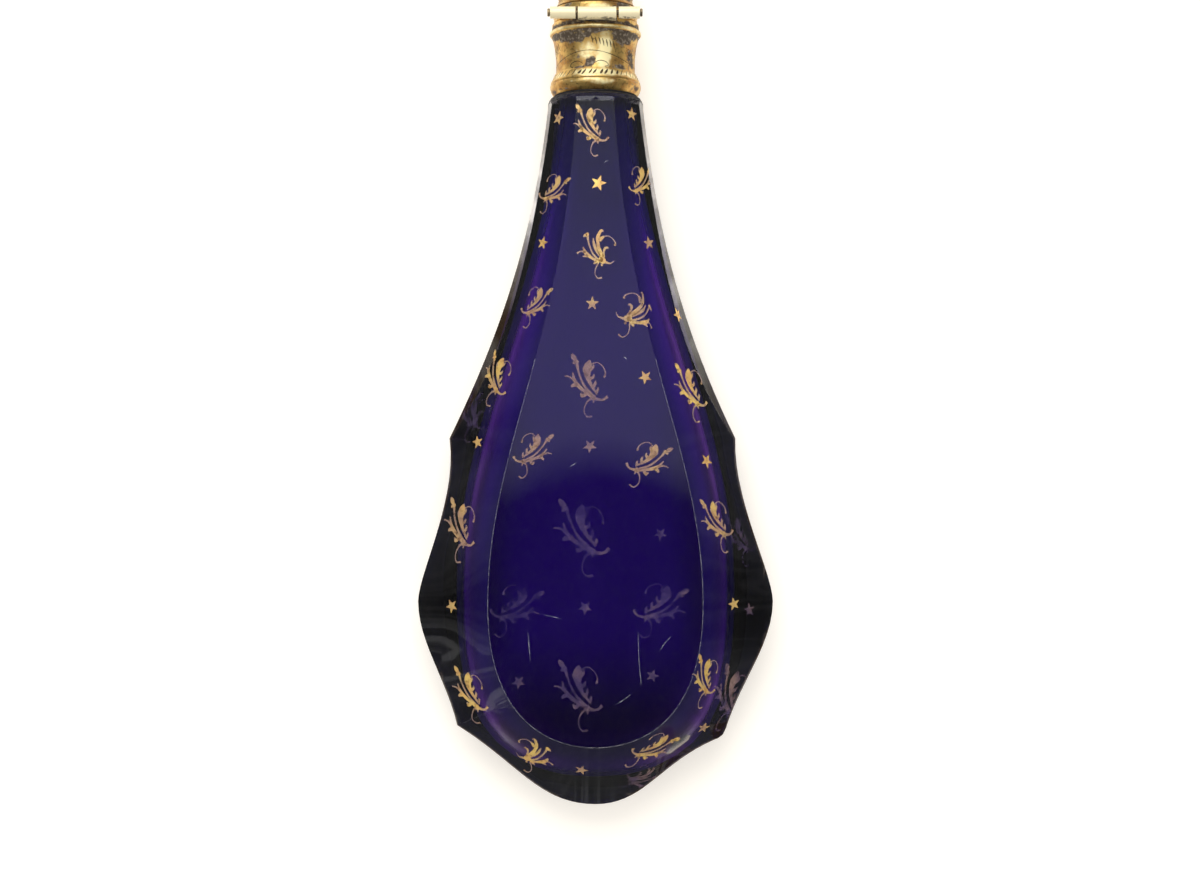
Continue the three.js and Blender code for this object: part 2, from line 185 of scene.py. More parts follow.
# Painted reflection: a glow in ripples beside the neck, seen only in mirrors, that the neck's bevels show as
# daylight
ripples = fade(noise(tree, 190, 3, (0.3, 1, 1)), 0.42, 0.56)
lopsided = scaled(axes["X"], 0.35, axes["Y"])
beside_neck = times(fade(lopsided, level(67), level(72)), fade(axes["Y"], level(90), level(84)))
beside_neck = times(beside_neck, fade(sideways, 5 * mm, 7 * mm))
painted_light_in_mirror = times(rays["Is Glossy Ray"], scaled(times(beside_neck, ripples), window_glow, mirror_glow))
seen = scaled(rays["Is Camera Ray"], camera_glow, painted_light_in_mirror)
white = glowing(tree, (0.9, 0.86, 0.79), (1, 0.95, 0.87), maths("ADD", seen, painted_glow_through_glass))
# Painted shade seen only through the glass: beside the bottle, past the panel's edge and under the foot
bottle_edge = scaled(fade(axes["Y"], level(45), level(95)), -17 * mm, 24 * mm)
aside = fade(maths("SUBTRACT", sideways, bottle_edge), 2 * mm, 12 * mm)
under_foot = times(fade(axes["Y"], level(22), level(11)), foot_shade)
panel_edge = scaled(fade(axes["Y"], level(36), level(70)), -6 * mm, 11.2 * mm)
below_neck = times(fade(axes["Y"], level(78), level(66)), flank_shade)
past_panel = times(fade(maths("SUBTRACT", sideways, panel_edge), 0, 3 * mm), below_neck)
unlit = maths("MAXIMUM", maths("MAXIMUM", aside, past_panel), under_foot)
painted_shade_in_glass = times(rays["Is Transmission Ray"], unlit)
dim = matt(tree, (0.02, 0.02, 0.02))
# Painted dim reflection, brown, seen only in mirrors: streaks, and all of the table below the neck
mirrored = maths("SUBTRACT", rays["Is Glossy Ray"], rays["Is Transmission Ray"], clamp=True)
streaks = times(fade(noise(tree, 60, 4, (0.12, 1, 1)), 0.4, 0.62), streak_shade)
shaded = times(fade(lopsided, level(73), level(66)), scaled(ripples, -neck_shade, 1))
painted_dim_in_mirror = times(mirrored, maths("MAXIMUM", streaks, shaded))
brown_dim = matt(tree, (0.2, 0.13, 0.08))
join(layered(painted_shade_in_glass, layered(painted_dim_in_mirror, white, brown_dim), dim), output.inputs["Surface"])
table.data.materials.append(card)

# Light: a white room and a soft lamp. Black cloth round and above the table is seen only in polished glass
# and metal: it leaves a white ceiling over the bottle's upper half, so the panel mirrors white above the
# camera's axis and black below it, and the cut flanks stay dark.
world = bpy.data.worlds.new("white room")
bpy.context.scene.world = world
world.use_nodes = True
room = world.node_tree.nodes["Background"]
room.inputs["Color"].default_value = (1, 1, 1, 1)
room.inputs["Strength"].default_value = 0.85


def all_parts(bm):
    return bm.verts[:] + bm.edges[:] + bm.faces[:]


cloth_width = 0.84
cloth_height = 0.36
cloth_edge = level(43)
edge_softness = 15 * mm
soft_strip = (cloth_edge - edge_softness, cloth_edge + edge_softness)
ceiling_reach = 0.2
card_radius = 0.1
black_dye = (0.13, 0.13, 0.13)
cloth_bm = bmesh.new()
bmesh.ops.create_cube(cloth_bm, size=1)
bmesh.ops.scale(cloth_bm, verts=cloth_bm.verts, vec=(cloth_width, cloth_width, cloth_height))
bmesh.ops.translate(cloth_bm, verts=cloth_bm.verts, vec=(0, 0, cloth_height / 2))
for across, cuts in (
    ((0, 1, 0), (*soft_strip, ceiling_reach, -card_radius, card_radius)),
    ((1, 0, 0), (-card_radius, card_radius)),
):
    for cut in cuts:
        place = Vector(across) * cut
        bmesh.ops.bisect_plane(cloth_bm, geom=all_parts(cloth_bm), plane_co=place, plane_no=across)
open_faces = []
for face in cloth_bm.faces:
    middle = face.calc_center_median()
    overhead = middle.z > 0.9 * cloth_height
    ceiling = overhead and soft_strip[1] < middle.y < ceiling_reach
    face.material_index = overhead and abs(middle.y - cloth_edge) < edge_softness
    floor = middle.z < 0.1 * cloth_height and max(abs(middle.x), abs(middle.y)) < card_radius
    if ceiling or (floor and abs(face.normal.z) > 0.5):
        open_faces.append(face)
bmesh.ops.delete(cloth_bm, geom=open_faces, context="FACES")
cloth_box = add_object("black_cloth", cloth_bm)
cloth, tree, output = new_material("black cloth")
axes = object_axes(tree)
# Painted reflections: the cloth glows in a lighter corner with hanging folds, and in a haze low down
in_corner = times(fade(axes["Y"], -0.12, -0.3), fade(axes["X"], 0.2, -0.2))
low = times(fade(axes["Z"], 0.3, 0.2), fade(axes["Z"], 0.02, 0.06))
folds = fade(noise(tree, 48, 3, (1, 1, 0.05)), 0.48, 0.58)
glint = times(scaled(in_corner, 0.9, 0.1), times(low, folds))
painted_haze_glow = times(fade(axes["Z"], 0.12, 0.06), 0.15)
join(glowing(tree, black_dye, (1, 1, 1), maths("ADD", glint, painted_haze_glow)), output.inputs["Surface"])
cloth_box.data.materials.append(cloth)
soft_edge, tree, output = new_material("cloth edge")
axes = object_axes(tree)
hang = maths("MINIMUM", times(maths("POWER", axes["X"], 2), 10), edge_softness / 2)
past_edge = maths("ADD", axes["Y"], hang)
shown = fade(past_edge, cloth_edge - edge_softness / 2, cloth_edge + edge_softness / 2)
nothing = tree.nodes.new("ShaderNodeBsdfTransparent").outputs[0]
join(layered(shown, matt(tree, black_dye), nothing), output.inputs["Surface"])
cloth_box.data.materials.append(soft_edge)
cloth_box.visible_camera = False
cloth_box.visible_diffuse = False
cloth_box.visible_shadow = False

lamp = bpy.data.objects.new("soft lamp", bpy.data.lights.new("soft lamp", "AREA"))
bpy.context.collection.objects.link(lamp)
lamp.location = (-0.05, 0.30, 0.34)
lamp.rotation_euler = (math.radians(-41), math.radians(-8), 0)
lamp.data.size = 0.36
lamp.data.energy = 1.2


# The bottle: blown thick in cobalt blue glass, then ground flat on two sides and cut with hollow flanks and
# narrow bevels, and polished. It stands a hair inside the solid, so that the gilding fits in its size.
def cad_copy(node):
    bm = bmesh.new()
    bm.from_mesh(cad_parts[node].data)
    bmesh.ops.remove_doubles(bm, verts=bm.verts, dist=0.003 * mm)
    return bm


def merge_triangles(bm, bend, shape):
    """Join the triangles of one facet; how far they may bend and stray from a rectangle is in degrees."""
    bmesh.ops.join_triangles(
        bm, faces=bm.faces, angle_face_threshold=math.radians(bend), angle_shape_threshold=math.radians(shape)
    )


def corners(face):
    return [v.co.copy() for v in face.verts]


facet_angle = math.radians(11)
bottle_bm = cad_copy("glass_bottle")
merge_triangles(bottle_bm, 12, 60)
gilding_room = 0.04 * mm
thinner = 1 - gilding_room / axis_height
about_axis = Matrix.Translation((0, 0, -axis_height))
bmesh.ops.scale(bottle_bm, verts=bottle_bm.verts, vec=(1, 1, thinner), space=about_axis)
cusp = max(bottle_bm.verts, key=lambda v: 0.75 * v.co.x - 0.66 * v.co.y + 0.05 * v.co.z).co.copy()
chip_depth = 0.3
chip_facings = (0.65, -0.57, 0.5), (0.57, -0.44, 0.69)
broken_faces = []
for facing in chip_facings:
    facing = Vector(facing).normalized()
    cut = bmesh.ops.bisect_plane(
        bottle_bm, geom=all_parts(bottle_bm), plane_co=cusp - facing * chip_depth * mm, plane_no=facing,
        clear_outer=True,
    )
    rim = [g for g in cut["geom_cut"] if isinstance(g, bmesh.types.BMEdge)]
    broken_faces += bmesh.ops.edgenet_fill(bottle_bm, edges=rim)["faces"]
bottle_bm.normal_update()
inside = bottle_bm.faces.layers.float.new("inside")
rubbed = bottle_bm.faces.layers.float.new("rubbed")
hollow_heart = level(28)
for face in bottle_bm.faces:
    middle = face.calc_center_median()
    inward = Vector((0, max(middle.y, hollow_heart), axis_height)) - middle
    face[inside] = face.normal.dot(inward) > 0
glass_surface = BVHTree.FromBMesh(bottle_bm)
creases = [
    edge for edge in bottle_bm.edges
    if edge.is_manifold and edge.calc_face_angle() > facet_angle
    and not all(face[inside] for face in edge.link_faces)
]
crease_lines = [(edge.verts[0].co.copy(), edge.verts[1].co.copy()) for edge in creases]
chip_corners = [corners(face) for face in broken_faces if face.is_valid]
shoulder_top, collar_foot = level(90.6), level(92)
grime_and_shade_corners = [
    corners(face) for face in bottle_bm.faces
    if not face[inside] and shoulder_top < face.calc_center_median().y < collar_foot
]
polished = bmesh.ops.bevel(
    bottle_bm, geom=creases, offset=0.08 * mm, affect="EDGES", segments=2, profile=0.5, material=-1
)
for face in polished["faces"]:
    face[rubbed] = 1
for face in bottle_bm.faces:
    face.smooth = True
bottle = add_object("bottle", bottle_bm)
flat_facets = bottle.modifiers.new("flat facets", "WEIGHTED_NORMAL")
flat_facets.weight = 100


def attribute(tree, name):
    node = tree.nodes.new("ShaderNodeAttribute")
    node.attribute_name = name
    return node.outputs["Fac"]


def new_group(name, inputs, outputs):
    group = bpy.data.node_groups.new(name, "ShaderNodeTree")
    for socket_name, usual in inputs:
        socket = group.interface.new_socket(socket_name, in_out="INPUT", socket_type="NodeSocketFloat")
        socket.default_value = usual
    for socket_name, kind in outputs:
        group.interface.new_socket(socket_name, in_out="OUTPUT", socket_type="NodeSocket" + kind)
    return group, group.nodes.new("NodeGroupInput").outputs, group.nodes.new("NodeGroupOutput").inputs


def mix_colour(factor, first, second, blend="MIX"):
    node = factor.id_data.nodes.new("ShaderNodeMix")
    node.data_type = "RGBA"
    node.blend_type = blend
    join(factor, node.inputs["Factor"])
    for socket, colour in ((node.inputs["A"], first), (node.inputs["B"], second)):
        if isinstance(colour, tuple):
            socket.default_value = (*colour, 1)
        else:
            join(colour, socket)
    return node.outputs["Result"]


# Handled glass: faint smears, fine rubbing and the long waves that hand polishing leaves
handled, _, handled_out = new_group(
    "handled glass", [], [("Roughness", "Float"), ("Height", "Float"), ("Tint", "Color")]
)
smears = scaled(noise(handled, 160, 5, (1, 0.5, 1)), 3.4, -1.75, clamp=True)
rubbing = scaled(noise(handled, 2600, 3), 5, -3, clamp=True)
worn_places = maths("ADD", smears, rubbing)
join(scaled(worn_places, 0.035, 0.01), handled_out["Roughness"])
join(noise(handled, 80, 1), handled_out["Height"])
join(mix_colour(smears, (0.92, 0.92, 1), (0.84, 0.85, 0.96)), handled_out["Tint"])


def new_finish(name):
    material, tree, output = new_material(name)
    shader = tree.nodes.new("ShaderNodeBsdfPrincipled")
    join(shader.outputs[0], output.inputs["Surface"])
    return material, tree, shader


def roughen(shader, height, depth, strength=1):
    """Relief that follows the height and is so many millimetres deep."""
    relief = height.id_data.nodes.new("ShaderNodeBump")
    relief.inputs["Distance"].default_value = depth * mm
    relief.inputs["Strength"].default_value = strength
    join(height, relief.inputs["Height"])
    join(relief.outputs["Normal"], shader.inputs["Normal"])


def cobalt_glass(name):
    material, tree, glass = new_finish(name)
    surface = tree.nodes.new("ShaderNodeGroup")
    surface.node_tree = handled
    join(surface.outputs["Tint"], glass.inputs["Base Color"])
    join(surface.outputs["Roughness"], glass.inputs["Roughness"])
    glass.inputs["IOR"].default_value = 1.49
    glass.inputs["Transmission Weight"].default_value = 1
    roughen(glass, surface.outputs["Height"], 0.02)
    absorption = tree.nodes.new("ShaderNodeVolumeAbsorption")
    absorption.inputs["Color"].default_value = (0.42, 0, 0.7, 1)
    absorption.inputs["Density"].default_value = 1500
    join(absorption.outputs[0], tree.get_output_node("ALL").inputs["Volume"])
    return material, tree, glass


cobalt, tree, glass = cobalt_glass("cobalt glass")
salts_haze = times(attribute(tree, "inside"), 0.5)
edge_rub = scaled(attribute(tree, "rubbed"), 0.2, salts_haze)
polish = glass.inputs["Roughness"].links[0].from_socket
join(maths("ADD", polish, edge_rub), glass.inputs["Roughness"])
bottle.data.materials.append(cobalt)
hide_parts("glass_bottle")
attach(bottle, "bottle")


# Gilding: sprigs and stars painted on both sides with a fine brush in fired gold. Each sprig grows from a
# knob, with a budded stem, a forked leaf and a tendril; most on the panels are worn to a shadow.
def along(points, t):
    """A smooth line through the points, t running from 0 to 1."""
    place = min(t, 0.9999) * (len(points) - 1)
    i = int(place)
    f = place - i
    before, a = points[max(0, i - 1)], points[i]
    b, after = points[i + 1], points[min(len(points) - 1, i + 2)]
    bend = 2 * before - 5 * a + 4 * b - after
    return 0.5 * (2 * a + (b - before) * f + bend * f * f + (3 * a - before - 3 * b + after) * f ** 3)


def paint_stroke(bm, path, widths, steps_each=3, fuller=1):
    """A brush stroke; its float layer "load", if there is one, tells how thick the paint lies."""
    load = bm.verts.layers.float.get("load")
    points = [Vector(p) * mm for p in path]
    steps = steps_each * (len(path) - 1)
    edge = None
    for i in range(steps + 1):
        t = i / steps
        ahead = along(points, min(1, t + 0.03)) - along(points, max(0, t - 0.03))
        width = max(0.02, along(widths, t) * fuller)
        side = Vector((-ahead.y, ahead.x)).normalized() * width * mm / 2
        left, right = along(points, t) + side, along(points, t) - side
        if edge is None:
            ends = [bm.verts.new((*left, 0)), bm.verts.new((*right, 0))]
            edge = bm.edges.new(ends)
        else:
            made = bmesh.ops.extrude_edge_only(bm, edges=[edge])["geom"]
            edge = next(g for g in made if isinstance(g, bmesh.types.BMEdge))
            ends = sorted(edge.verts, key=lambda v: (v.co - ends[0].co).length)
            ends[0].co, ends[1].co = (*left, 0), (*right, 0)
        if load:
            for v in ends:
                v[load] = width / full_load


full_load = 0.5  # millimetres wide: a stroke that lays the gold at its thickest
gilding_bm = bmesh.new()
wear_layer = gilding_bm.verts.layers.float.new("wear")
load_layer = gilding_bm.verts.layers.float.new("load")


def draw_motif(strokes, dots):
    before = set(all_parts(gilding_bm))
    for path, widths in strokes:
        paint_stroke(gilding_bm, path, widths, fuller=1.3)
    for x, y, radius in dots:
        at = Matrix.Translation((x * mm, y * mm, 0))
        made = bmesh.ops.create_circle(gilding_bm, cap_ends=True, segments=11, radius=radius * mm, matrix=at)
        for v in made["verts"]:
            v[load_layer] = 2 * radius / full_load
    return [g for g in all_parts(gilding_bm) if g not in before]


hook = (
    [(-0.45, -0.3), (-0.86, -1.0), (-0.94, -1.65), (-0.62, -2.2), (-0.05, -2.15)],
    [0.16, 0.1, 0.09, 0.12, 0.17],
)
forked = draw_motif([  # stem, leaf, tendril, branch, hook; in millimetres from the knob
    ([(-0.5, 0.15), (-1.15, 0.95), (-1.5, 1.8), (-1.7, 2.6), (-1.78, 3.2)], [0.24, 0.18, 0.16, 0.18, 0.24]),
    ([(-1.85, 3.35), (-2.15, 3.3), (-2.3, 3.1)], [0.34, 0.26, 0.1]),
    ([(-0.2, 0.6), (-0.72, 1.45), (-0.98, 2.3), (-1.02, 2.95)], [0.2, 0.27, 0.25, 0.1]),
    ([(0.1, 0.45), (-0.28, 1.35), (-0.42, 2.25), (-0.42, 2.95), (-0.2, 3.5), (0.1, 3.85), (0.42, 3.72)],
     [0.44, 0.42, 0.3, 0.36, 0.3, 0.28, 0.1]),
    ([(-0.2, 2.55), (0.12, 2.92), (0.48, 3.08)], [0.3, 0.32, 0.16]),
    ([(0.4, 3.08), (0.95, 3.14), (1.5, 2.82), (1.88, 2.28), (1.84, 1.98)], [0.14, 0.09, 0.09, 0.13, 0.22]),
    ([(0.25, 0.4), (0.3, 1.1), (0.5, 1.58), (0.86, 1.64), (0.93, 1.45)], [0.3, 0.2, 0.24, 0.18, 0.06]),
    ([(-0.3, -0.1), (-1.1, 0.25), (-1.75, 0.75), (-2.2, 1.2), (-2.4, 1.85)], [0.36, 0.25, 0.36, 0.34, 0.14]),
    ([(-2.1, 1.15), (-2.75, 1.3), (-3.25, 1.05)], [0.24, 0.12, 0.2]),
    ([(-1.85, 0.72), (-2.5, 0.62)], [0.34, 0.1]), ([(-0.7, -0.1), (-1.1, -0.35)], [0.34, 0.14]),
    ([(0.5, -0.2), (1.15, -0.38), (1.7, -0.05)], [0.26, 0.14, 0.07]),
    hook,
], [(0.15, 0.0, 0.42), (-0.12, 0.15, 0.35), (-1.8, 3.42, 0.24), (0.0, -0.55, 0.15), (1.84, 1.98, 0.14)])
leafy = draw_motif([  # stem, bud, leaf with its teeth, tendril, branch, knob's roots, hook
    ([(-0.05, 0.1), (-0.95, 1.15), (-1.42, 2.05), (-1.72, 2.95), (-1.85, 3.6)], [0.3, 0.2, 0.17, 0.17, 0.26]),
    ([(-2.0, 3.95), (-2.25, 4.35), (-2.5, 4.75)], [0.24, 0.42, 0.14]),
    ([(0.45, 0.3), (-0.1, 1.1), (-0.52, 1.85), (-0.72, 2.7), (-0.62, 3.5), (-0.45, 4.1)],
     [0.12, 0.24, 0.36, 0.6, 0.68, 0.12]),
    ([(-0.7, 2.3), (-1.05, 2.85), (-1.2, 3.3)], [0.3, 0.2, 0.08]),
    ([(-0.45, 2.0), (-0.05, 2.2), (0.05, 2.55)], [0.3, 0.24, 0.08]),
    ([(-0.5, 2.9), (-0.1, 3.3), (0.02, 3.6)], [0.3, 0.24, 0.08]),
    ([(0.0, 1.1), (0.22, 1.55), (0.18, 1.85)], [0.26, 0.22, 0.07]),
    ([(0.35, 0.45), (0.52, 0.85), (0.5, 1.1)], [0.22, 0.2, 0.06]),
    ([(-0.2, 3.65), (0.4, 3.85), (0.98, 3.45), (1.3, 2.8), (1.22, 2.3)], [0.13, 0.09, 0.09, 0.1, 0.19]),
    ([(-0.2, 0.1), (-0.95, 0.6), (-1.65, 1.2), (-2.1, 1.85), (-2.3, 2.65)], [0.34, 0.28, 0.34, 0.26, 0.12]),
    ([(-1.95, 1.6), (-2.6, 2.15), (-3.2, 2.25)], [0.24, 0.15, 0.1]),
    ([(-1.75, 1.3), (-2.2, 1.25), (-2.45, 1.05)], [0.32, 0.3, 0.18]),
    ([(-0.75, 0.35), (-1.1, 0.12), (-1.4, 0.4)], [0.26, 0.32, 0.12]),
    ([(0.05, -0.1), (0.8, -0.3), (1.25, -0.22), (1.6, 0.1)], [0.34, 0.2, 0.2, 0.27]),
    ([(-0.1, -0.1), (-0.45, -0.45)], [0.3, 0.1]), ([(0.05, -0.1), (0.08, -0.68)], [0.34, 0.08]),
    hook,
], [(0.05, 0.0, 0.28), (-1.92, 3.85, 0.25), (-2.2, 3.75, 0.17), (-1.2, 0.1, 0.2), (1.22, 2.3, 0.13)])
star_arm = 0.95
star_waist = 0.4
arm_tip = 0.13
made = bmesh.ops.create_circle(gilding_bm, cap_ends=True, segments=10, radius=star_arm * mm)
for tip in made["verts"][1::2]:
    tip.co *= star_waist
bmesh.ops.bevel(
    gilding_bm, geom=made["verts"][::2], offset=arm_tip * mm, affect="VERTICES", segments=2, profile=0.5,
    material=-1,
)
sprigs = set(forked + leafy)
star = [g for g in all_parts(gilding_bm) if g not in sprigs]
for g in star:
    if isinstance(g, bmesh.types.BMVert):
        g[load_layer] = 1

sheet_lift = 0.012 * mm
brush = random.Random(4)


def gild(motif, x, height, turn, size, wear, front=True, mirrored=False):
    copied = bmesh.ops.duplicate(gilding_bm, geom=motif)["geom"]
    verts = [g for g in copied if isinstance(g, bmesh.types.BMVert)]
    above = 1 if front else -1
    start = Vector((x * mm, level(height), axis_height + above * 30 * mm))
    root, normal, _, _ = glass_surface.ray_cast(start, Vector((0, 0, -above)))
    up = (Vector((0, 1, 0)) - normal * normal.y).normalized()
    across = up.cross(normal)
    hand = Matrix.Rotation(math.radians(turn + brush.uniform(-3, 3)), 2)
    stretch = (size * brush.uniform(0.94, 1.06) * (-1 if mirrored else 1), size * brush.uniform(0.94, 1.06))
    for v in verts:
        flat = hand @ Vector((v.co.x * stretch[0], v.co.y * stretch[1]))
        spot, facet_normal, _, _ = glass_surface.find_nearest(root + across * flat.x + up * flat.y)
        v.co = spot + facet_normal * sheet_lift
        v[wear_layer] = wear


upright_sprigs = [  # motif, across, height of the root, turn, size, wear
    (leafy, 0.2, 85.4, 6, 0.98, 0.25), (forked, 0.8, 70.0, 4, 1.0, 0.18),
    (leafy, -0.3, 52.8, -4, 1.1, 0.6), (leafy, -12.7, 53.8, -14, 1.05, 0.12),
    (leafy, 13.0, 52.1, 4, 1.15, 0.05), (leafy, -16.9, 34.3, -4, 1.15, 0.36),
    (leafy, 16.4, 35.4, 10, 1.1, 0.3), (leafy, -0.5, 33.4, 4, 1.38, 0.85),
    (leafy, -1.1, 13.6, 2, 1.3, 0.76), (leafy, -15.2, 13.2, 0, 1.15, 0.1),
    (leafy, 14.1, 15.4, -2, 1.0, 0.1), (forked, -15.6, 49.4, -10, 1.1, 0.9),
    (leafy, 17.2, 12.3, -14, 1.25, 0.72), (leafy, 19.4, 33.4, 4, 1.0, 0.88),
]
leaning_sprigs = [
    (leafy, 5.2, 79.1, -14, 0.85, 0.1), (leafy, -6.3, 78.2, -30, 0.9, 0.3),
    (leafy, -8.5, 63.6, -20, 0.9, 0.35), (forked, 4.1, 62.6, -34, 1.05, 0.35),
    (leafy, -9.0, 44.7, -24, 0.95, 0.48), (leafy, 5.3, 43.6, -28, 1.0, 0.45),
    (leafy, -11.6, 25.0, -28, 1.15, 0.87), (leafy, 6.6, 25.0, -26, 1.2, 0.85),
    (forked, -8.7, 6.4, -31, 1.05, 0.12), (leafy, 5.6, 7.3, -42, 1.1, 0.2),
    (forked, 4.7, 3.6, -62, 0.9, 0.8),
]
stars = [  # across, height, size, wear
    (-4.7, 88.4, 1.0, 0.35), (4.6, 88.9, 1.0, 0.3), (0.4, 79.8, 1.1, 0.05), (-6.7, 72.5, 1.0, 0.15),
    (6.8, 72.5, 1.0, 0.4), (-0.4, 64.6, 1.0, 0.45), (10.6, 63.5, 1.1, 0.05), (6.3, 55.3, 1.05, 0.2),
    (-15.1, 47.1, 1.0, 0.25), (-0.7, 46.6, 1.0, 0.68), (14.2, 44.7, 1.05, 0.15), (8.2, 35.5, 1.0, 0.84),
    (-18.4, 26.1, 1.0, 0.15), (-1.3, 26.2, 1.1, 0.84), (17.7, 26.4, 1.0, 0.2), (19.8, 25.5, 1.0, 0.8),
    (-9.7, 16.8, 1.0, 0.82), (7.2, 17.6, 1.0, 0.8), (13.9, 10.4, 0.95, 0.35), (-1.8, 5.2, 0.95, 0.4),
]
back_wear = 0.62  # the back has rubbed on tables
most_wear = 0.95
for front in (True, False):
    more_wear = 0 if front else back_wear
    for sprigs, mirrored in ((upright_sprigs, False), (leaning_sprigs, True)):
        for motif, x, height, turn, size, wear in sprigs:
            gild(motif, x, height, turn, size, min(most_wear, wear + more_wear), front, mirrored)
    for x, height, size, wear in stars:
        gild(star, x, height, brush.uniform(0, 72), size, min(most_wear, wear + more_wear), front)
patterns = [g for g in forked + leafy + star if isinstance(g, bmesh.types.BMVert)]
bmesh.ops.delete(gilding_bm, geom=patterns, context="VERTS")


def thin_sheet(name, bm, surface, thickness):
    """A sheet that lies on the surface, with its faces turned outward."""
    bmesh.ops.recalc_face_normals(bm, faces=bm.faces)
    for face in bm.faces:
        outward = surface.find_nearest(face.calc_center_median())[1]
        if face.normal.dot(outward) < 0:
            face.normal_flip()
    piece = add_object(name, bm)
    sheet = piece.modifiers.new("thickness", "SOLIDIFY")
    sheet.thickness = thickness * mm
    sheet.offset = 1
    return piece


gilding = thin_sheet("gilding", gilding_bm, glass_surface, 0.02)
gold, tree, metal = new_finish("painted gold")
wear = attribute(tree, "wear")
load = scaled(attribute(tree, "load"), 1.5, -0.25, clamp=True)
brushwork = noise(tree, 1500, 4)
pooled = noise(tree, 620, 2)
uneven = maths("SUBTRACT", noise(tree, 330, 3), 0.5)
patchy_wear = scaled(uneven, 0.7, wear)
fresh = mix_colour(scaled(pooled, 5, -2, clamp=True), (1.0, 0.7, 0.2), (0.86, 0.52, 0.18))
fresh = mix_colour(load, (0.42, 0.3, 0.32), fresh)
tone = mix_colour(scaled(patchy_wear, 2.2, -0.25, clamp=True), fresh, (0.48, 0.3, 0.25))
tone = mix_colour(scaled(patchy_wear, 4, -2.4, clamp=True), tone, (0.15, 0.1, 0.24))
hair_lines = scaled(brushwork, 6, -3.3, clamp=True)
join(mix_colour(hair_lines, tone, (0.5, 0.4, 0.4), "MULTIPLY"), metal.inputs["Base Color"])
left_over = maths("SUBTRACT", 1.12, scaled(uneven, 0.3, wear))
thin = scaled(brushwork, -0.25, left_over, clamp=True)
join(times(maths("POWER", thin, 1.15), scaled(load, 0.3, 0.7)), metal.inputs["Alpha"])
join(scaled(brushwork, 0.3, 0.22), metal.inputs["Roughness"])
join(scaled(wear, -0.7, 0.6, clamp=True), metal.inputs["Metallic"])
roughen(metal, brushwork, 0.02, 0.7)
gilding.data.materials.append(gold)
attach(gilding, "bottle")

# Wear on the glass: the broken corner with its shell-like ripples, hairline scratches on the panel, and the
# pale line along the panel's lower edge, partly where it has rubbed on things and partly a painted highlight.
damage_bm = bmesh.new()
faint = damage_bm.verts.layers.float.new("faint")
for chip in chip_corners:
    damage_bm.faces.new([damage_bm.verts.new(corner) for corner in chip])
bmesh.ops.subdivide_edges(damage_bm, edges=damage_bm.edges, cuts=4, use_grid_fill=True)
bmesh.ops.triangulate(damage_bm, faces=damage_bm.faces)
knock = random.Random(9)
for v in damage_bm.verts:
    v.co += Vector((knock.uniform(0, 1), knock.uniform(-1, 0), knock.uniform(-0.2, 0.6))) * 0.03 * mm
scratches = [  # across, height, across, height: the ends of each, in millimetres
    (-8.5, 23.0, -8.2, 19.5), (-6.5, 25.3, -4.2, 24.8), (5.4, 23.1, 5.8, 16.4), (2.5, 13.9, 4.4, 15.2),
    (8.2, 20.8, 9.6, 22.6), (-3.2, 44.0, -2.4, 44.5), (3.5, 57.9, 3.9, 57.5), (1.2, 82.4, 1.7, 82.7),
]
hair, tip = 0.05, 0.02
scratch_faintness, rub_and_highlight_faintness = 0.64, 0.86
panel_level = axis_height * (1 + thinner)
for x, height, end_x, end_height in scratches:
    before = set(damage_bm.verts)
    bend = knock.uniform(-0.15, 0.15)
    path = [(x, height), ((x + end_x) / 2 + bend, (height + end_height) / 2), (end_x, end_height)]
    paint_stroke(damage_bm, path, [tip, hair, tip], steps_each=4)
    for v in set(damage_bm.verts) - before:
        v.co = Vector((v.co.x, foot + v.co.y, panel_level + 0.01 * mm))
        v[faint] = scratch_faintness
# The pale line along the panel's lower edge: partly rubbing, partly a painted highlight
rub_and_highlight_top = level(58)
for start, end in crease_lines:
    if min(start.z, end.z) > panel_level - 0.05 * mm and max(start.y, end.y) < rub_and_highlight_top:
        across = (end - start).normalized().cross(Vector((0, 0, 1))) * 0.03 * mm
        lifted = Vector((0, 0, 0.004 * mm))
        sides = (start - across, end - across, end + across, start + across)
        strip = [damage_bm.verts.new(side + lifted) for side in sides]
        damage_bm.faces.new(strip)
        for v in strip:
            v[faint] = rub_and_highlight_faintness
bmesh.ops.remove_doubles(damage_bm, verts=damage_bm.verts, dist=0.002 * mm)
damage = thin_sheet("scratches_and_chip", damage_bm, glass_surface, 0.008)
raw_glass, tree, frost = new_finish("raw scratched glass")
shells = scaled(noise(tree, 1300, 5, (1, 2.5, 1)), 5, -1.8, clamp=True)
join(mix_colour(shells, (0.2, 0.2, 0.24), (0.95, 0.95, 0.97)), frost.inputs["Base Color"])
frost.inputs["Roughness"].default_value = 0.35
solid = maths("SUBTRACT", 1, attribute(tree, "faint"))
join(times(scaled(shells, 0.45, 0.55), solid), frost.inputs["Alpha"])
roughen(frost, shells, 0.1)
damage.data.materials.append(raw_glass)
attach(damage, "bottle")


# Grime and painted shade: black dust and old polish, packed in the narrow gap between the glass shoulder
# and the collar, and left as a thin film on the shoulder; the black also stands for the shade under the
# collar.
def turned(profile, steps=128, ring=True):
    bm = bmesh.new()
    rim = [bm.verts.new((radius * mm, level(height), axis_height)) for radius, height in profile]
    outline = [bm.edges.new(pair) for pair in zip(rim, rim[1:])]
    if ring:
        outline.append(bm.edges.new((rim[-1], rim[0])))
    bmesh.ops.spin(
        bm, geom=rim + outline, cent=(0, 0, axis_height), axis=(0, 1, 0), angle=math.tau, steps=steps,
        use_merge=True,
    )
    bmesh.ops.remove_doubles(bm, verts=bm.verts, dist=0.001 * mm)
    bmesh.ops.recalc_face_normals(bm, faces=bm.faces)
    return bm


def smooth_piece(name, bm, angle=35):
    piece = add_object(name, bm)
    piece.data.shade_smooth()
    piece.data.set_sharp_from_angle(angle=math.radians(angle))
    return piece


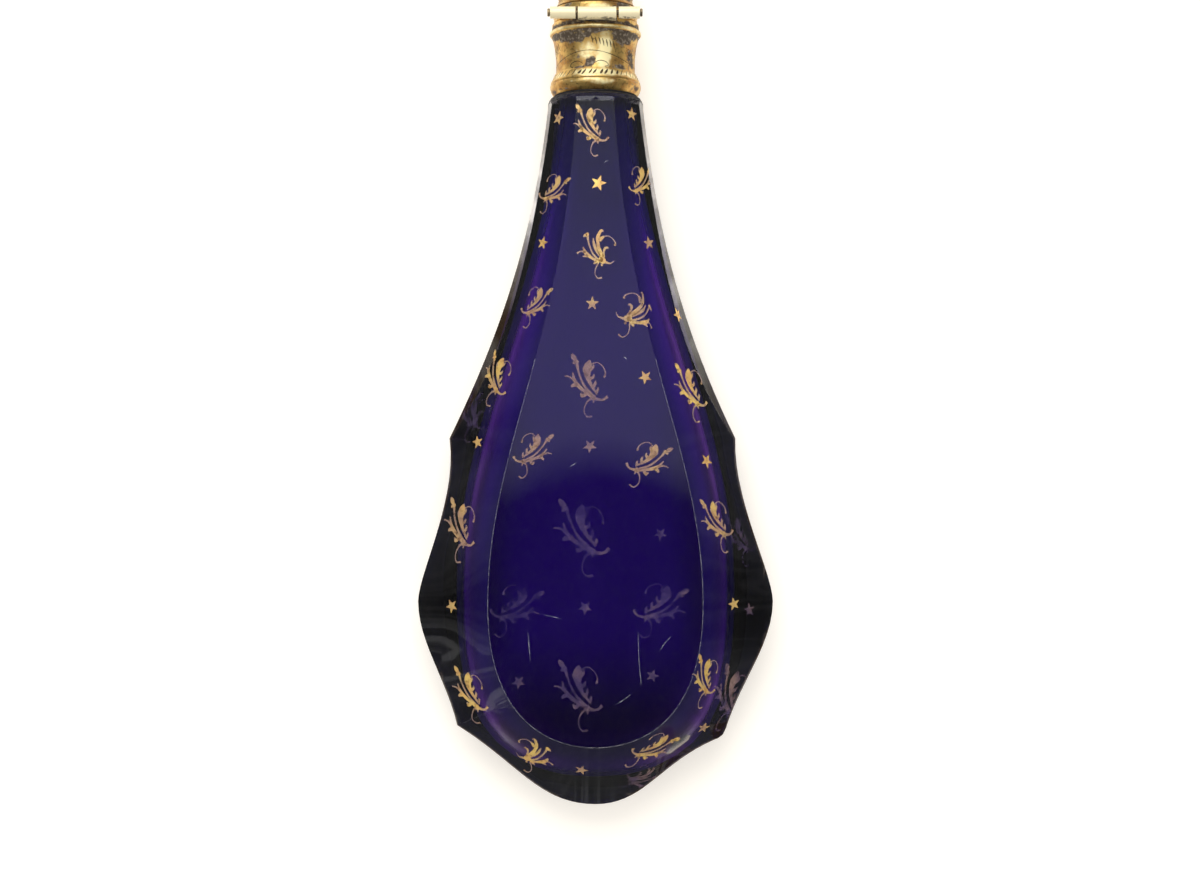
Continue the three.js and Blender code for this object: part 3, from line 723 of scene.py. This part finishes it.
packed_bm = turned([(4.5, 91.84), (5.36, 91.74), (5.39, 91.8), (5.36, 91.93), (4.5, 91.93)])
packed_dirt_and_shade_ring = smooth_piece("packed_dirt", packed_bm)
grime_bm = bmesh.new()
for patch in grime_and_shade_corners:
    grime_bm.faces.new([grime_bm.verts.new(corner) for corner in patch])
bmesh.ops.remove_doubles(grime_bm, verts=grime_bm.verts, dist=0.002 * mm)
grime_and_shade = thin_sheet("grime_and_shade", grime_bm, glass_surface, 0.015)
dirt, tree, crust = new_finish("packed grime")
crumbs = noise(tree, 2400, 5)
soot_and_shade = mix_colour(fade(crumbs, 0.45, 0.7), (0.006, 0.006, 0.008), (0.035, 0.03, 0.03))
join(soot_and_shade, crust.inputs["Base Color"])
crust.inputs["Roughness"].default_value = 0.75
# Black in the gap, fading to a thin film down the shoulder: partly grime, partly painted shade
up_shoulder = scaled(crumbs, 0.3 * mm, object_axes(tree)["Y"])
film = times(fade(up_shoulder, level(90.3), level(91)), 0.4)
packed = fade(up_shoulder, level(91.3), level(91.55))
join(maths("MAXIMUM", film, packed), crust.inputs["Alpha"])
roughen(crust, crumbs, 0.03)
for piece in (grime_and_shade, packed_dirt_and_shade_ring):
    piece.data.materials.append(dirt)
    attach(piece, "bottle")


# The collar's sleeve: a waisted tube of silver, spun, chased and gilded. It is cemented on the neck, and its
# gold is rubbed thin, with dark stains under the bead and in the cuts; the pale patches down its front and
# along the ledge are partly a painted highlight.
def bezier(points, t):
    while len(points) > 1:
        points = [a.lerp(b, t) for a, b in zip(points, points[1:])]
    return points[0]


def curve(points, steps):
    return [tuple(bezier([Vector(p) for p in points], i / steps)) for i in range(steps + 1)]


# Dark spots are partly tarnish and partly painted shade; pale spots are partly rubbed gold and partly painted
# highlight.
def stain_and_shade(bm, stain_and_shade_spots, rub_and_highlight_spots=()):
    """Spots are degrees round from the front, height, spread in degrees, rise and strength."""
    for name, spots in (("stain_and_shade", stain_and_shade_spots), ("bare_and_highlight", rub_and_highlight_spots)):
        layer = bm.verts.layers.float.new(name)
        for v in bm.verts:
            angle = math.degrees(math.atan2(v.co.x, v.co.z - axis_height))
            height = (v.co.y - foot) / mm
            for spot_angle, spot_height, spread, rise, strength in spots:
                away = ((angle - spot_angle) / spread) ** 2 + ((height - spot_height) / rise) ** 2
                v[layer] = max(v[layer], strength * max(0, 1.5 - away) / 1.5)


# Worn gilding: the dark spots are partly tarnish and partly painted shade, and the pale spots and the Rubbed
# input partly rubbed gold and partly painted highlight.
worn_gilding, worn_in, worn_out = new_group(
    "worn gilding", [("Age", 0.5), ("Turning", 0.3), ("Rubbed_and_highlight", 0.0)],
    [("Color", "Color"), ("Roughness", "Float"), ("Metallic", "Float"), ("Height", "Float")],
)
cloudy = noise(worn_gilding, 560, 6)
speckle = noise(worn_gilding, 2600, 5)
turning = noise(worn_gilding, 300, 2, (1, 30, 1))
rubbed_brown = fade(cloudy, 0.44, 0.62)
colour = mix_colour(rubbed_brown, (0.78, 0.52, 0.17), (0.52, 0.27, 0.08))
fine_dirt = times(fade(speckle, 0.52, 0.7), worn_in["Age"])
colour = mix_colour(fine_dirt, colour, (0.17, 0.1, 0.04))
ragged = maths("ADD", times(cloudy, 7), times(speckle, 4))
bare_and_highlight = scaled(attribute(worn_gilding, "bare_and_highlight"), 4.5, ragged)
bare_and_highlight = maths("MAXIMUM", fade(bare_and_highlight, 6.6, 8.8), worn_in["Rubbed_and_highlight"])
rubbed_gold_and_highlight = mix_colour(worn_in["Rubbed_and_highlight"], (1.0, 0.86, 0.46), (0.97, 0.86, 0.57))
colour = mix_colour(bare_and_highlight, colour, rubbed_gold_and_highlight)
stain_and_shade_mask = scaled(attribute(worn_gilding, "stain_and_shade"), 4.2, ragged)
dark = fade(stain_and_shade_mask, 6.9, 7.9)
tarnish = mix_colour(fade(speckle, 0.5, 0.68), (0.045, 0.038, 0.036), (0.3, 0.25, 0.19))
colour = mix_colour(times(dark, 0.93), colour, tarnish)
join(colour, worn_out["Color"])
rougher = scaled(dark, 0.2, scaled(cloudy, 0.25, 0.24))
join(rougher, worn_out["Roughness"])
less_metal = maths("MAXIMUM", dark, times(bare_and_highlight, 0.8))
less_metal = scaled(worn_in["Rubbed_and_highlight"], 0.7, less_metal)
join(scaled(less_metal, -0.55, 0.97, clamp=True), worn_out["Metallic"])
lines = times(turning, worn_in["Turning"])
join(scaled(speckle, 0.5, lines), worn_out["Height"])


def gilt_metal(name, age, turning, relief_depth=0.02, rubbed=0):
    material, tree, metal = new_finish(name)
    worn = tree.nodes.new("ShaderNodeGroup")
    worn.node_tree = worn_gilding
    for socket, value in zip(worn.inputs, (age, turning, rubbed)):
        socket.default_value = value
    for socket, wanted in zip(worn.outputs, ("Base Color", "Roughness", "Metallic")):
        join(socket, metal.inputs[wanted])
    roughen(metal, worn.outputs["Height"], relief_depth)
    return material


collar_gilt = gilt_metal("collar gilding", 0.7, 0.3)
under_bead, above_strokes, strokes_foot = 99.72, 94.75, 93.45
sleeve_bm = turned([
    (4.65, 92.0), (5.15, 92.0), (5.15, strokes_foot - 0.02), (5.78, strokes_foot - 0.02),
    (5.82, strokes_foot + 0.1),
    *curve([(5.8, strokes_foot + 0.2), (5.6, 94.0), (5.32, above_strokes - 0.12)], 6),
    (5.26, above_strokes), (5.17, above_strokes + 0.04),
    *curve([(5.14, above_strokes + 0.1), (5.02, 96.6), (5.2, 98.4), (5.7, under_bead)], 16),
    (5.15, 99.8), (5.15, 101.2), (4.65, 101.2),
], steps=160)
collar_stains = [
    *[(a, 99.55 - 0.002 * abs(a), 12, 0.3, 1.0) for a in range(-84, 90, 12)],
    (-64, 99.2, 14, 0.5, 1.1), (-50, 99.0, 13, 0.7, 1.1), (-36, 98.85, 12, 0.8, 1.1),
    (-23, 98.7, 10, 0.9, 1.1), (-11, 99.05, 9, 0.6, 0.95), (-1, 99.3, 10, 0.35, 0.9),
    (29, 98.95, 8, 0.9, 1.1), (39, 98.75, 9, 1.05, 1.1), (50, 98.85, 10, 0.9, 1.1),
    (64, 99.15, 12, 0.55, 1.0), (-8, 95.3, 8, 0.7, 0.85), (-4, 95.9, 5, 0.4, 0.6),
    (36, 94.95, 14, 0.35, 0.9), (-25, 94.92, 14, 0.22, 0.9), (-28, 96.2, 7, 0.4, 0.6),
    (64, 96.2, 14, 1.4, 0.55), (130, 98.9, 30, 0.5, 0.8), (-140, 98.7, 25, 0.7, 0.9),
    (172, 95.6, 20, 0.5, 0.7), (-100, 95.2, 12, 0.4, 0.7),
]
# Pale spots: rubbed gold, and on the front and along the ledge partly a painted highlight
collar_rubs_and_highlights = [
    (14, 97.3, 11, 2.3, 1.05), (11, 95.8, 11, 1.3, 1.0), (-12, 97.0, 18, 1.3, 0.6),
    (0, 94.1, 42, 0.55, 1.0), (-60, 94.1, 25, 0.45, 0.7), (60, 94.1, 25, 0.45, 0.6),
    (150, 97, 40, 1.5, 0.6), (-120, 94.1, 40, 0.4, 0.6),
]
stain_and_shade(sleeve_bm, collar_stains, collar_rubs_and_highlights)
sleeve_surface = BVHTree.FromBMesh(sleeve_bm)
sleeve = smooth_piece("sleeve", sleeve_bm)
sleeve.data.materials.append(collar_gilt)
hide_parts("collar_sleeve")
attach(sleeve, "bottle")

# The rings sleeved and soldered on the collar: a plain rounded band at its foot, a bead ring under the seam,
# and the lip inside its mouth that the cap closes over.
foot_band_bm = turned([
    (5.2, 91.97), (5.42, 91.95), *curve([(5.45, 92.0), (5.75, 92.35), (5.9, 92.8), (5.9, 93.1)], 6),
    (5.87, 93.3), (5.8, 93.4), (5.2, 93.4),
])
# Darker at the sides; the pale front patches are partly a painted highlight, the back one rubbed gold
stain_and_shade(
    foot_band_bm, [(62, 92.6, 25, 0.5, 0.35), (-60, 92.2, 30, 0.3, 0.4), (150, 92.7, 30, 0.5, 0.5)],
    [(8, 92.9, 16, 0.5, 0.7), (-20, 93.1, 24, 0.35, 0.55), (-160, 92.9, 30, 0.4, 0.6)],
)
bead_radius, bead_height, bead_size = 5.6, 99.98, 0.34
bead = [
    (bead_radius + bead_size * math.cos(math.radians(a)), bead_height + bead_size * math.sin(math.radians(a)))
    for a in range(-100, 81, 15)
]
top_rim_bm = turned([(5.2, 99.75), *bead, (5.66, 100.45), (5.63, 101.1), (5.55, 101.2), (5.2, 101.2)])
# Painted shade: dark wedges under the outer knuckles, a dark line round the top of the bead and dark spots in
# the hinge's gaps. Painted highlight: the bead lighter all round.
stain_and_shade(
    top_rim_bm,
    [
        *[(side * a, 100.62, 12, 0.32, 1.2) for side in (-1, 1) for a in (24, 36, 48, 60, 72)],
        *[(a, 100.36, 12, 0.1, 0.9) for a in range(-180, 180, 12)], (7, 100.95, 8, 0.25, 1.0),
        (-25, 100.9, 5, 0.6, 1.6), (25, 100.9, 5, 0.6, 1.6),
    ],
    [(a, 99.95, 16, 0.24, 0.66) for a in range(-176, 180, 16)],
)
bezel_bm = turned([
    (4.2, 99.42), (4.28, 99.4), (4.6, 99.4), (4.6, 101.95), (4.55, 102.12), (4.42, 102.2), (4.28, 102.15),
    (4.2, 102.0),
])
stain_and_shade(bezel_bm, [])
for name, bm, node in (
    ("foot_band", foot_band_bm, "collar_foot_band"), ("bead_ring", top_rim_bm, "collar_top_rim"),
    ("collar_lip", bezel_bm, "collar_bezel"),
):
    ring = smooth_piece(name, bm)
    ring.data.materials.append(collar_gilt)
    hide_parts(node)
    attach(ring, "bottle")


# Engraving on the collar: slanted cuts round the band at its foot, a wavy line round the waist with a spray
# of strokes at each bend, all dark with old tarnish. Each cut is a thin sliver laid in the gold.
def engrave(bm, surface, path, widths, radius, steps_each=3):
    """Cut a stroke whose path is given in degrees round from the front and in height."""
    before = set(bm.verts)
    turn = math.radians(1) * radius
    paint_stroke(bm, [(angle * turn, height) for angle, height in path], widths, steps_each)
    for v in set(bm.verts) - before:
        angle = v.co.x / mm / radius
        out = radius * mm
        start = Vector((out * math.sin(angle), foot + v.co.y, axis_height + out * math.cos(angle)))
        spot, outward, _, _ = surface.find_nearest(start)
        v.co = spot + outward * 0.004 * mm


engraving_bm = bmesh.new()
hand = random.Random(11)
band_cuts = 48
for i in range(band_cuts):
    angle = 360 * i / band_cuts - 180 + hand.uniform(-1, 1)
    low, high = 93.6 + hand.uniform(-0.05, 0.1), 94.62 + hand.uniform(-0.12, 0.03)
    lean = 2.4 + hand.uniform(-0.6, 0.6)
    depth = hand.uniform(0.24, 0.36) if abs(angle - 3) < 32 else hand.uniform(0.06, 0.14)
    slant = [(angle - lean, low), (angle, (low + high) / 2), (angle + lean, high)]
    engrave(engraving_bm, sleeve_surface, slant, [0.03, depth, 0.08], 5.5)
wave_height = 96.2
wave = [
    (angle, wave_height + 0.75 * math.cos(math.radians(2 * (angle + 10)))) for angle in range(-180, 181, 9)
]
engrave(engraving_bm, sleeve_surface, wave, [0.07, 0.05, 0.09] * (len(wave) // 3 + 1), 5.15, steps_each=2)
for bend in (-100, -10, 80, 170):
    above = 1 if bend in (-10, 170) else -1
    start = 98.75 if above > 0 else 97.9
    for k in range(7):
        angle = bend + 4 + 5.2 * k
        top = start - 0.09 * k * above + hand.uniform(-0.06, 0.06)
        stroke = [(angle, top), (angle + 1.6, top - 0.45), (angle + 2.6, top - 0.95)]
        engrave(engraving_bm, sleeve_surface, stroke, [0.05, 0.15, 0.03], 5.25)
    for side in (-1, 1):
        bends = ((8, -0.9), (16, -0.55), (25, -0.7), (29, -1.1), (24, -1.3))
        curl = [(bend + side * a, wave_height + above * h) for a, h in bends]
        engrave(engraving_bm, sleeve_surface, curl, [0.05, 0.09, 0.08, 0.06, 0.1], 5.15)
engraving = thin_sheet("engraving", engraving_bm, sleeve_surface, 0.006)


def dull_metal(name, deep, worn, scale, roughness):
    material, tree, metal = new_finish(name)
    grain = noise(tree, scale, 4)
    join(mix_colour(scaled(grain, 5, -2.2, clamp=True), deep, worn), metal.inputs["Base Color"])
    join(scaled(grain, 0.3, roughness), metal.inputs["Roughness"])
    metal.inputs["Metallic"].default_value = 0.6
    roughen(metal, grain, 0.02)
    return material


cut_tarnish = dull_metal("tarnish in the cuts", (0.03, 0.022, 0.015), (0.14, 0.09, 0.04), 2500, 0.35)
engraving.data.materials.append(cut_tarnish)
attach(engraving, "bottle")

# The plaster that holds the collar on the neck: poured thin between the silver and the glass, set hard, a
# little pitted and yellowed.
plaster_bm = turned([
    (4.2, 92.6), (4.25, 92.55), (4.55, 92.55), (4.6, 92.6), (4.6, 99.3), (4.55, 99.35), (4.2, 99.35),
], steps=72)
pits = random.Random(7)
for v in plaster_bm.verts:
    v.co.y += pits.uniform(0, 0.04) * mm * (1 if v.co.y < level(95) else -1)
plaster_ring = smooth_piece("plaster_ring", plaster_bm)
plaster, tree, dry = new_finish("old plaster")
grains = noise(tree, 2200, 6)
yellowed = scaled(noise(tree, 500, 3), 3, -1.1, clamp=True)
join(mix_colour(yellowed, (0.62, 0.55, 0.44), (0.38, 0.3, 0.2)), dry.inputs["Base Color"])
dry.inputs["Roughness"].default_value = 0.9
roughen(dry, grains, 0.06)
plaster_ring.data.materials.append(plaster)
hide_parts("neck_cement")
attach(plaster_ring, "bottle")


# The hinge: three drawn silver knuckles, each soldered with its plate to the collar or to the cap, gilded and
# rubbed bright, their cream partly a painted highlight, and a pin peened over at both ends.
def round_edges(piece, name, width, segments):
    rounded = piece.modifiers.new(name, "BEVEL")
    rounded.width = width * mm
    rounded.segments = segments
    rounded.limit_method = "ANGLE"
    rounded.angle_limit = math.radians(30)
    rounded.harden_normals = True


flat = math.radians(1)
# The knuckles' pale cream: partly rubbed gilding, partly a painted highlight
bright_gilt = gilt_metal("bright gilding", 0.35, 0.1, 0.01, 0.92)
pin_metal = dull_metal("tarnished pin", (0.12, 0.09, 0.06), (0.4, 0.3, 0.16), 900, 0.2)
for node, name, body, metal, slot in (
    ("collar_knuckle", "centre_knuckle", "bottle", bright_gilt, "gilt_hinge"),
    ("cap_knuckle_left", "left_knuckle", "cap", bright_gilt, "gilt_hinge"),
    ("cap_knuckle_right", "right_knuckle", "cap", bright_gilt, "gilt_hinge"),
    ("hinge_pin", "pin", "cap", pin_metal, "hinge_pin"),
):
    knuckle_bm = cad_copy(node)
    merge_triangles(knuckle_bm, 1, 180)
    bmesh.ops.dissolve_limit(knuckle_bm, angle_limit=flat, verts=knuckle_bm.verts, edges=knuckle_bm.edges)
    # Painted shade along the bottom of each knuckle
    stain_and_shade(knuckle_bm, [(0, 100.55, 40, 0.2, 0.4)])
    knuckle = smooth_piece(name, knuckle_bm, 30)
    round_edges(knuckle, "rubbed edges", 0.06, 2)
    knuckle.data.materials.append(metal)
    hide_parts(node)
    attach(knuckle, body)

# Solder: silver solder run along the joints of the hinge's plates in small beads, rough and dark where it
# was never cleaned up.
solder_bm = bmesh.new()
drops = random.Random(3)
drop_shape = Matrix.Diagonal((1.7, 1, 0.8, 1))
for row_height, row_left, row_right, radius in ((101.5, -2.3, 2.7, 5.5), (100.52, -2.2, 2.6, 5.95)):
    x = row_left
    while x < row_right:
        size = drops.uniform(0.07, 0.15)
        z = axis_height + math.sqrt(radius ** 2 - x ** 2) * mm
        place = Matrix.Translation((x * mm, foot + (row_height + drops.uniform(-0.03, 0.05)) * mm, z))
        bmesh.ops.create_icosphere(solder_bm, subdivisions=2, radius=size * mm, matrix=place @ drop_shape)
        x += size * 1.3
solder_joins = smooth_piece("solder", solder_bm, 60)
dark_solder = dull_metal("dark solder", (0.06, 0.05, 0.04), (0.3, 0.22, 0.12), 1400, 0.35)
solder_joins.data.materials.append(dark_solder)
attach(solder_joins, "bottle")

# The cap's rim: a turned ring of gilt silver that closes on the collar, with a bead at its top where the
# dome is soldered on.
cap_gilt = gilt_metal("cap gilding", 0.8, 0.3)
cap_rim_bm = turned([
    (4.9, 101.4), (4.95, 101.35), (5.3, 101.35), (5.4, 101.45), (5.4, 101.95),
    *curve([(5.4, 102.05), (5.52, 102.1), (5.55, 102.4), (5.55, 102.85), (5.5, 103.1), (5.38, 103.17)], 8),
    (5.3, 103.2), (4.9, 103.2),
])
# Dark spots: tarnish, and painted shade in the hinge's gaps
stain_and_shade(
    cap_rim_bm,
    [
        (44, 102.7, 14, 0.6, 1.0), (-38, 102.9, 9, 0.4, 0.8), (-25, 101.9, 4, 0.7, 1.6),
        (25, 101.9, 4, 0.7, 1.6), (0, 101.5, 34, 0.25, 0.9), (160, 102.5, 30, 0.5, 0.7),
    ],
    [(5, 102.4, 18, 0.5, 0.8), (-60, 102.5, 14, 0.4, 0.5)],
)
cap_ring = smooth_piece("cap_ring", cap_rim_bm)
cap_ring.data.materials.append(cap_gilt)
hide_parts("cap_rim")
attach(cap_ring, "cap")


# The cap's dome: spun from sheet with a cove, a small bead and a crown of chased petals. The picture cuts it
# off, so its shape is that of other caps of this kind.
def cap_wall(inset):
    cove = [(5.38, 103.27), (4.95, 103.5), (4.72, 104.1), (4.76, 104.75)]
    dome = [(4.9 - inset, 105.15), (5.75 - inset, 107.3), (4.9 - inset, 110.7 - inset), (1.5, 111.62 - inset)]
    return curve([(radius - inset, height) for radius, height in cove], 6), curve(dome, 18)


def press_in(v, shrink):
    """Move a point of a turned shape towards the bottle's axis."""
    v.co.x *= shrink
    v.co.z = axis_height + (v.co.z - axis_height) * shrink


outer_cove, outer_dome = cap_wall(0)
inner_cove, inner_dome = cap_wall(0.5)
cap_bead = [(4.98, 104.82), (5.05, 104.95), (4.98, 105.08)]
cap_bm = turned([
    *outer_cove, *cap_bead, *outer_dome, (0, 111.65), (0, 111.15), *inner_dome[::-1], *inner_cove[::-1],
    outer_cove[0],
], steps=168, ring=False)
petals = 14
petal_foot, petal_top = 105.2, 111
for v in cap_bm.verts:
    height = (v.co.y - foot) / mm
    out = Vector((v.co.x, v.co.z - axis_height)) / mm
    on_lining_side = out.length < max(1.75, 4.4 - 0.55 * max(0, height - 106))
    if on_lining_side or not petal_foot <= height <= petal_top:
        continue
    angle = math.atan2(out.x, out.y)
    groove = 1 - abs(math.sin(petals / 2 * angle)) ** 0.7
    depth = min(1, (height - petal_foot) / 0.5) * min(1, (petal_top - height) / 1.2)
    press_in(v, 1 - 0.05 * groove * depth)
bead_stains = [(a, 105.1, 20, 0.3, 0.5) for a in range(-160, 180, 45)]
stain_and_shade(cap_bm, bead_stains + [(50, 104.2, 30, 0.5, 0.7), (-120, 108, 30, 1.0, 0.5)])
cap_surface = BVHTree.FromBMesh(cap_bm)
dome = smooth_piece("dome", cap_bm, 40)
dome.data.materials.append(cap_gilt)
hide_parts("cap_shell")
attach(dome, "cap")

# Chasing on the cap: a vein down each petal and slanted cuts round the cove's foot, made and darkened like
# the collar's.
chasing_bm = bmesh.new()
for i in range(petals):
    angle = 360 * (i + 0.5) / petals - 180
    for side in (-1, 1):
        vein = [(angle + side * a, h) for a, h in ((1.2, 105.6), (4.5, 106.6), (4.2, 107.8), (0, 109.2))]
        engrave(chasing_bm, cap_surface, vein, [0.03, 0.1, 0.09, 0.03], 5.1)
    engrave(chasing_bm, cap_surface, [(angle, 106.2), (angle, 107.2), (angle, 108.0)], [0.04, 0.1, 0.02], 5.1)
for i in range(band_cuts):
    angle = 360 * i / band_cuts - 180 + hand.uniform(-1, 1)
    slant = [(angle - 2, 103.75), (angle, 104.15), (angle + 2, 104.6)]
    engrave(chasing_bm, cap_surface, slant, [0.03, 0.16, 0.05], 4.8)
chasing = thin_sheet("chasing", chasing_bm, cap_surface, 0.006)
chasing.data.materials.append(cut_tarnish)
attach(chasing, "cap")

# The cap's lining: a thin shell of gilt silver that hides the back of the chased work, spun to fit inside
# the dome and burnished bright.
lining_cove, lining_dome = cap_wall(0.57)
inside_cove, inside_dome = cap_wall(0.8)
lining_bm = turned([
    *lining_cove, *lining_dome, (0, 111.08), (0, 110.85), *inside_dome[::-1], *inside_cove[::-1],
    lining_cove[0],
], steps=120, ring=False)
lining = smooth_piece("lining", lining_bm, 40)
lining.data.materials.append(gilt_metal("spun lining", 0.15, 1.0, 0.012))
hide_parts("cap_liner")
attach(lining, "cap")

# The knop: a fluted bud of gilt silver, cast with a turned foot and soldered on top of the cap. It is a
# guess, like the dome.
knop_bm = turned([
    (0, 111.7), (1.12, 111.7), (1.2, 111.78), (1.2, 111.92), (1.08, 112.02), (0.76, 112.4), (0.78, 112.62),
    *curve([(0.9, 112.7), (1.1, 112.75), (1.1, 112.95), (0.85, 113.0)], 4),
    *curve([(0.86, 113.05), (1.75, 113.3), (1.85, 114.6), (0.95, 115.2), (0.4, 115.28)], 12),
    *curve([(0.36, 115.34), (0.48, 115.45), (0.36, 115.68), (0, 115.7)], 4),
], steps=96, ring=False)
flutes = 8
bud_foot, bud_length = 113.1, 2.1
for v in knop_bm.verts:
    height = (v.co.y - foot) / mm
    if bud_foot < height < bud_foot + bud_length:
        angle = math.atan2(v.co.x, v.co.z - axis_height)
        depth = math.sin(math.pi * (height - bud_foot) / bud_length)
        press_in(v, 1 - 0.09 * depth * (1 - abs(math.sin(flutes / 2 * angle)) ** 0.8))
stain_and_shade(knop_bm, [(a, 112.5, 60, 0.3, 0.5) for a in range(-180, 180, 60)])
knop = smooth_piece("knop", knop_bm, 40)
knop.data.materials.append(cap_gilt)
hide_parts("cap_finial")
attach(knop, "cap")

# The thumbpiece: a small tab cut from silver plate, gilded, and soldered to the cap's rim on the side away
# from the hinge.
tab_bm = cad_copy("thumbpiece")
bmesh.ops.dissolve_limit(tab_bm, angle_limit=flat, verts=tab_bm.verts, edges=tab_bm.edges)
stain_and_shade(tab_bm, [(180, 101.5, 12, 0.2, 0.4)])
tab = smooth_piece("thumb_tab", tab_bm, 30)
round_edges(tab, "worn edges", 0.12, 3)
tab.data.materials.append(cap_gilt)
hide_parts("thumbpiece")
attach(tab, "cap")

# The stopper: cobalt glass, with its plug ground matt to fit the neck and its flat head polished. It is held
# by its taper alone.
stopper_bm = turned([
    (0, 93.5), (2.2, 93.5), (2.45, 93.52), (2.72, 93.72), (2.8, 94.0), (2.96, 96.5), (3.15, 101.0),
    (3.15, 101.15), (3.22, 101.16), *curve([(3.25, 101.2), (3.36, 101.5), (3.35, 101.75)], 4), (3.35, 102.9),
    *curve([(3.35, 103.05), (3.33, 103.3), (2.95, 103.48)], 5), (2.7, 103.5), (0, 103.5),
], steps=96, ring=False)
stopper = smooth_piece("ground_stopper", stopper_bm, 25)
ground_glass, tree, glass = cobalt_glass("ground cobalt glass")
on_plug = maths("LESS_THAN", object_axes(tree)["Y"], level(101.08))
grinding = noise(tree, 3000, 4, (1, 4, 1))
join(scaled(scaled(grinding, 0.3, 0.35), on_plug, 0.02), glass.inputs["Roughness"])
roughen(glass, times(grinding, on_plug), 0.015)
stopper.data.materials.append(ground_glass)
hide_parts("stopper")
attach(stopper, "stopper")
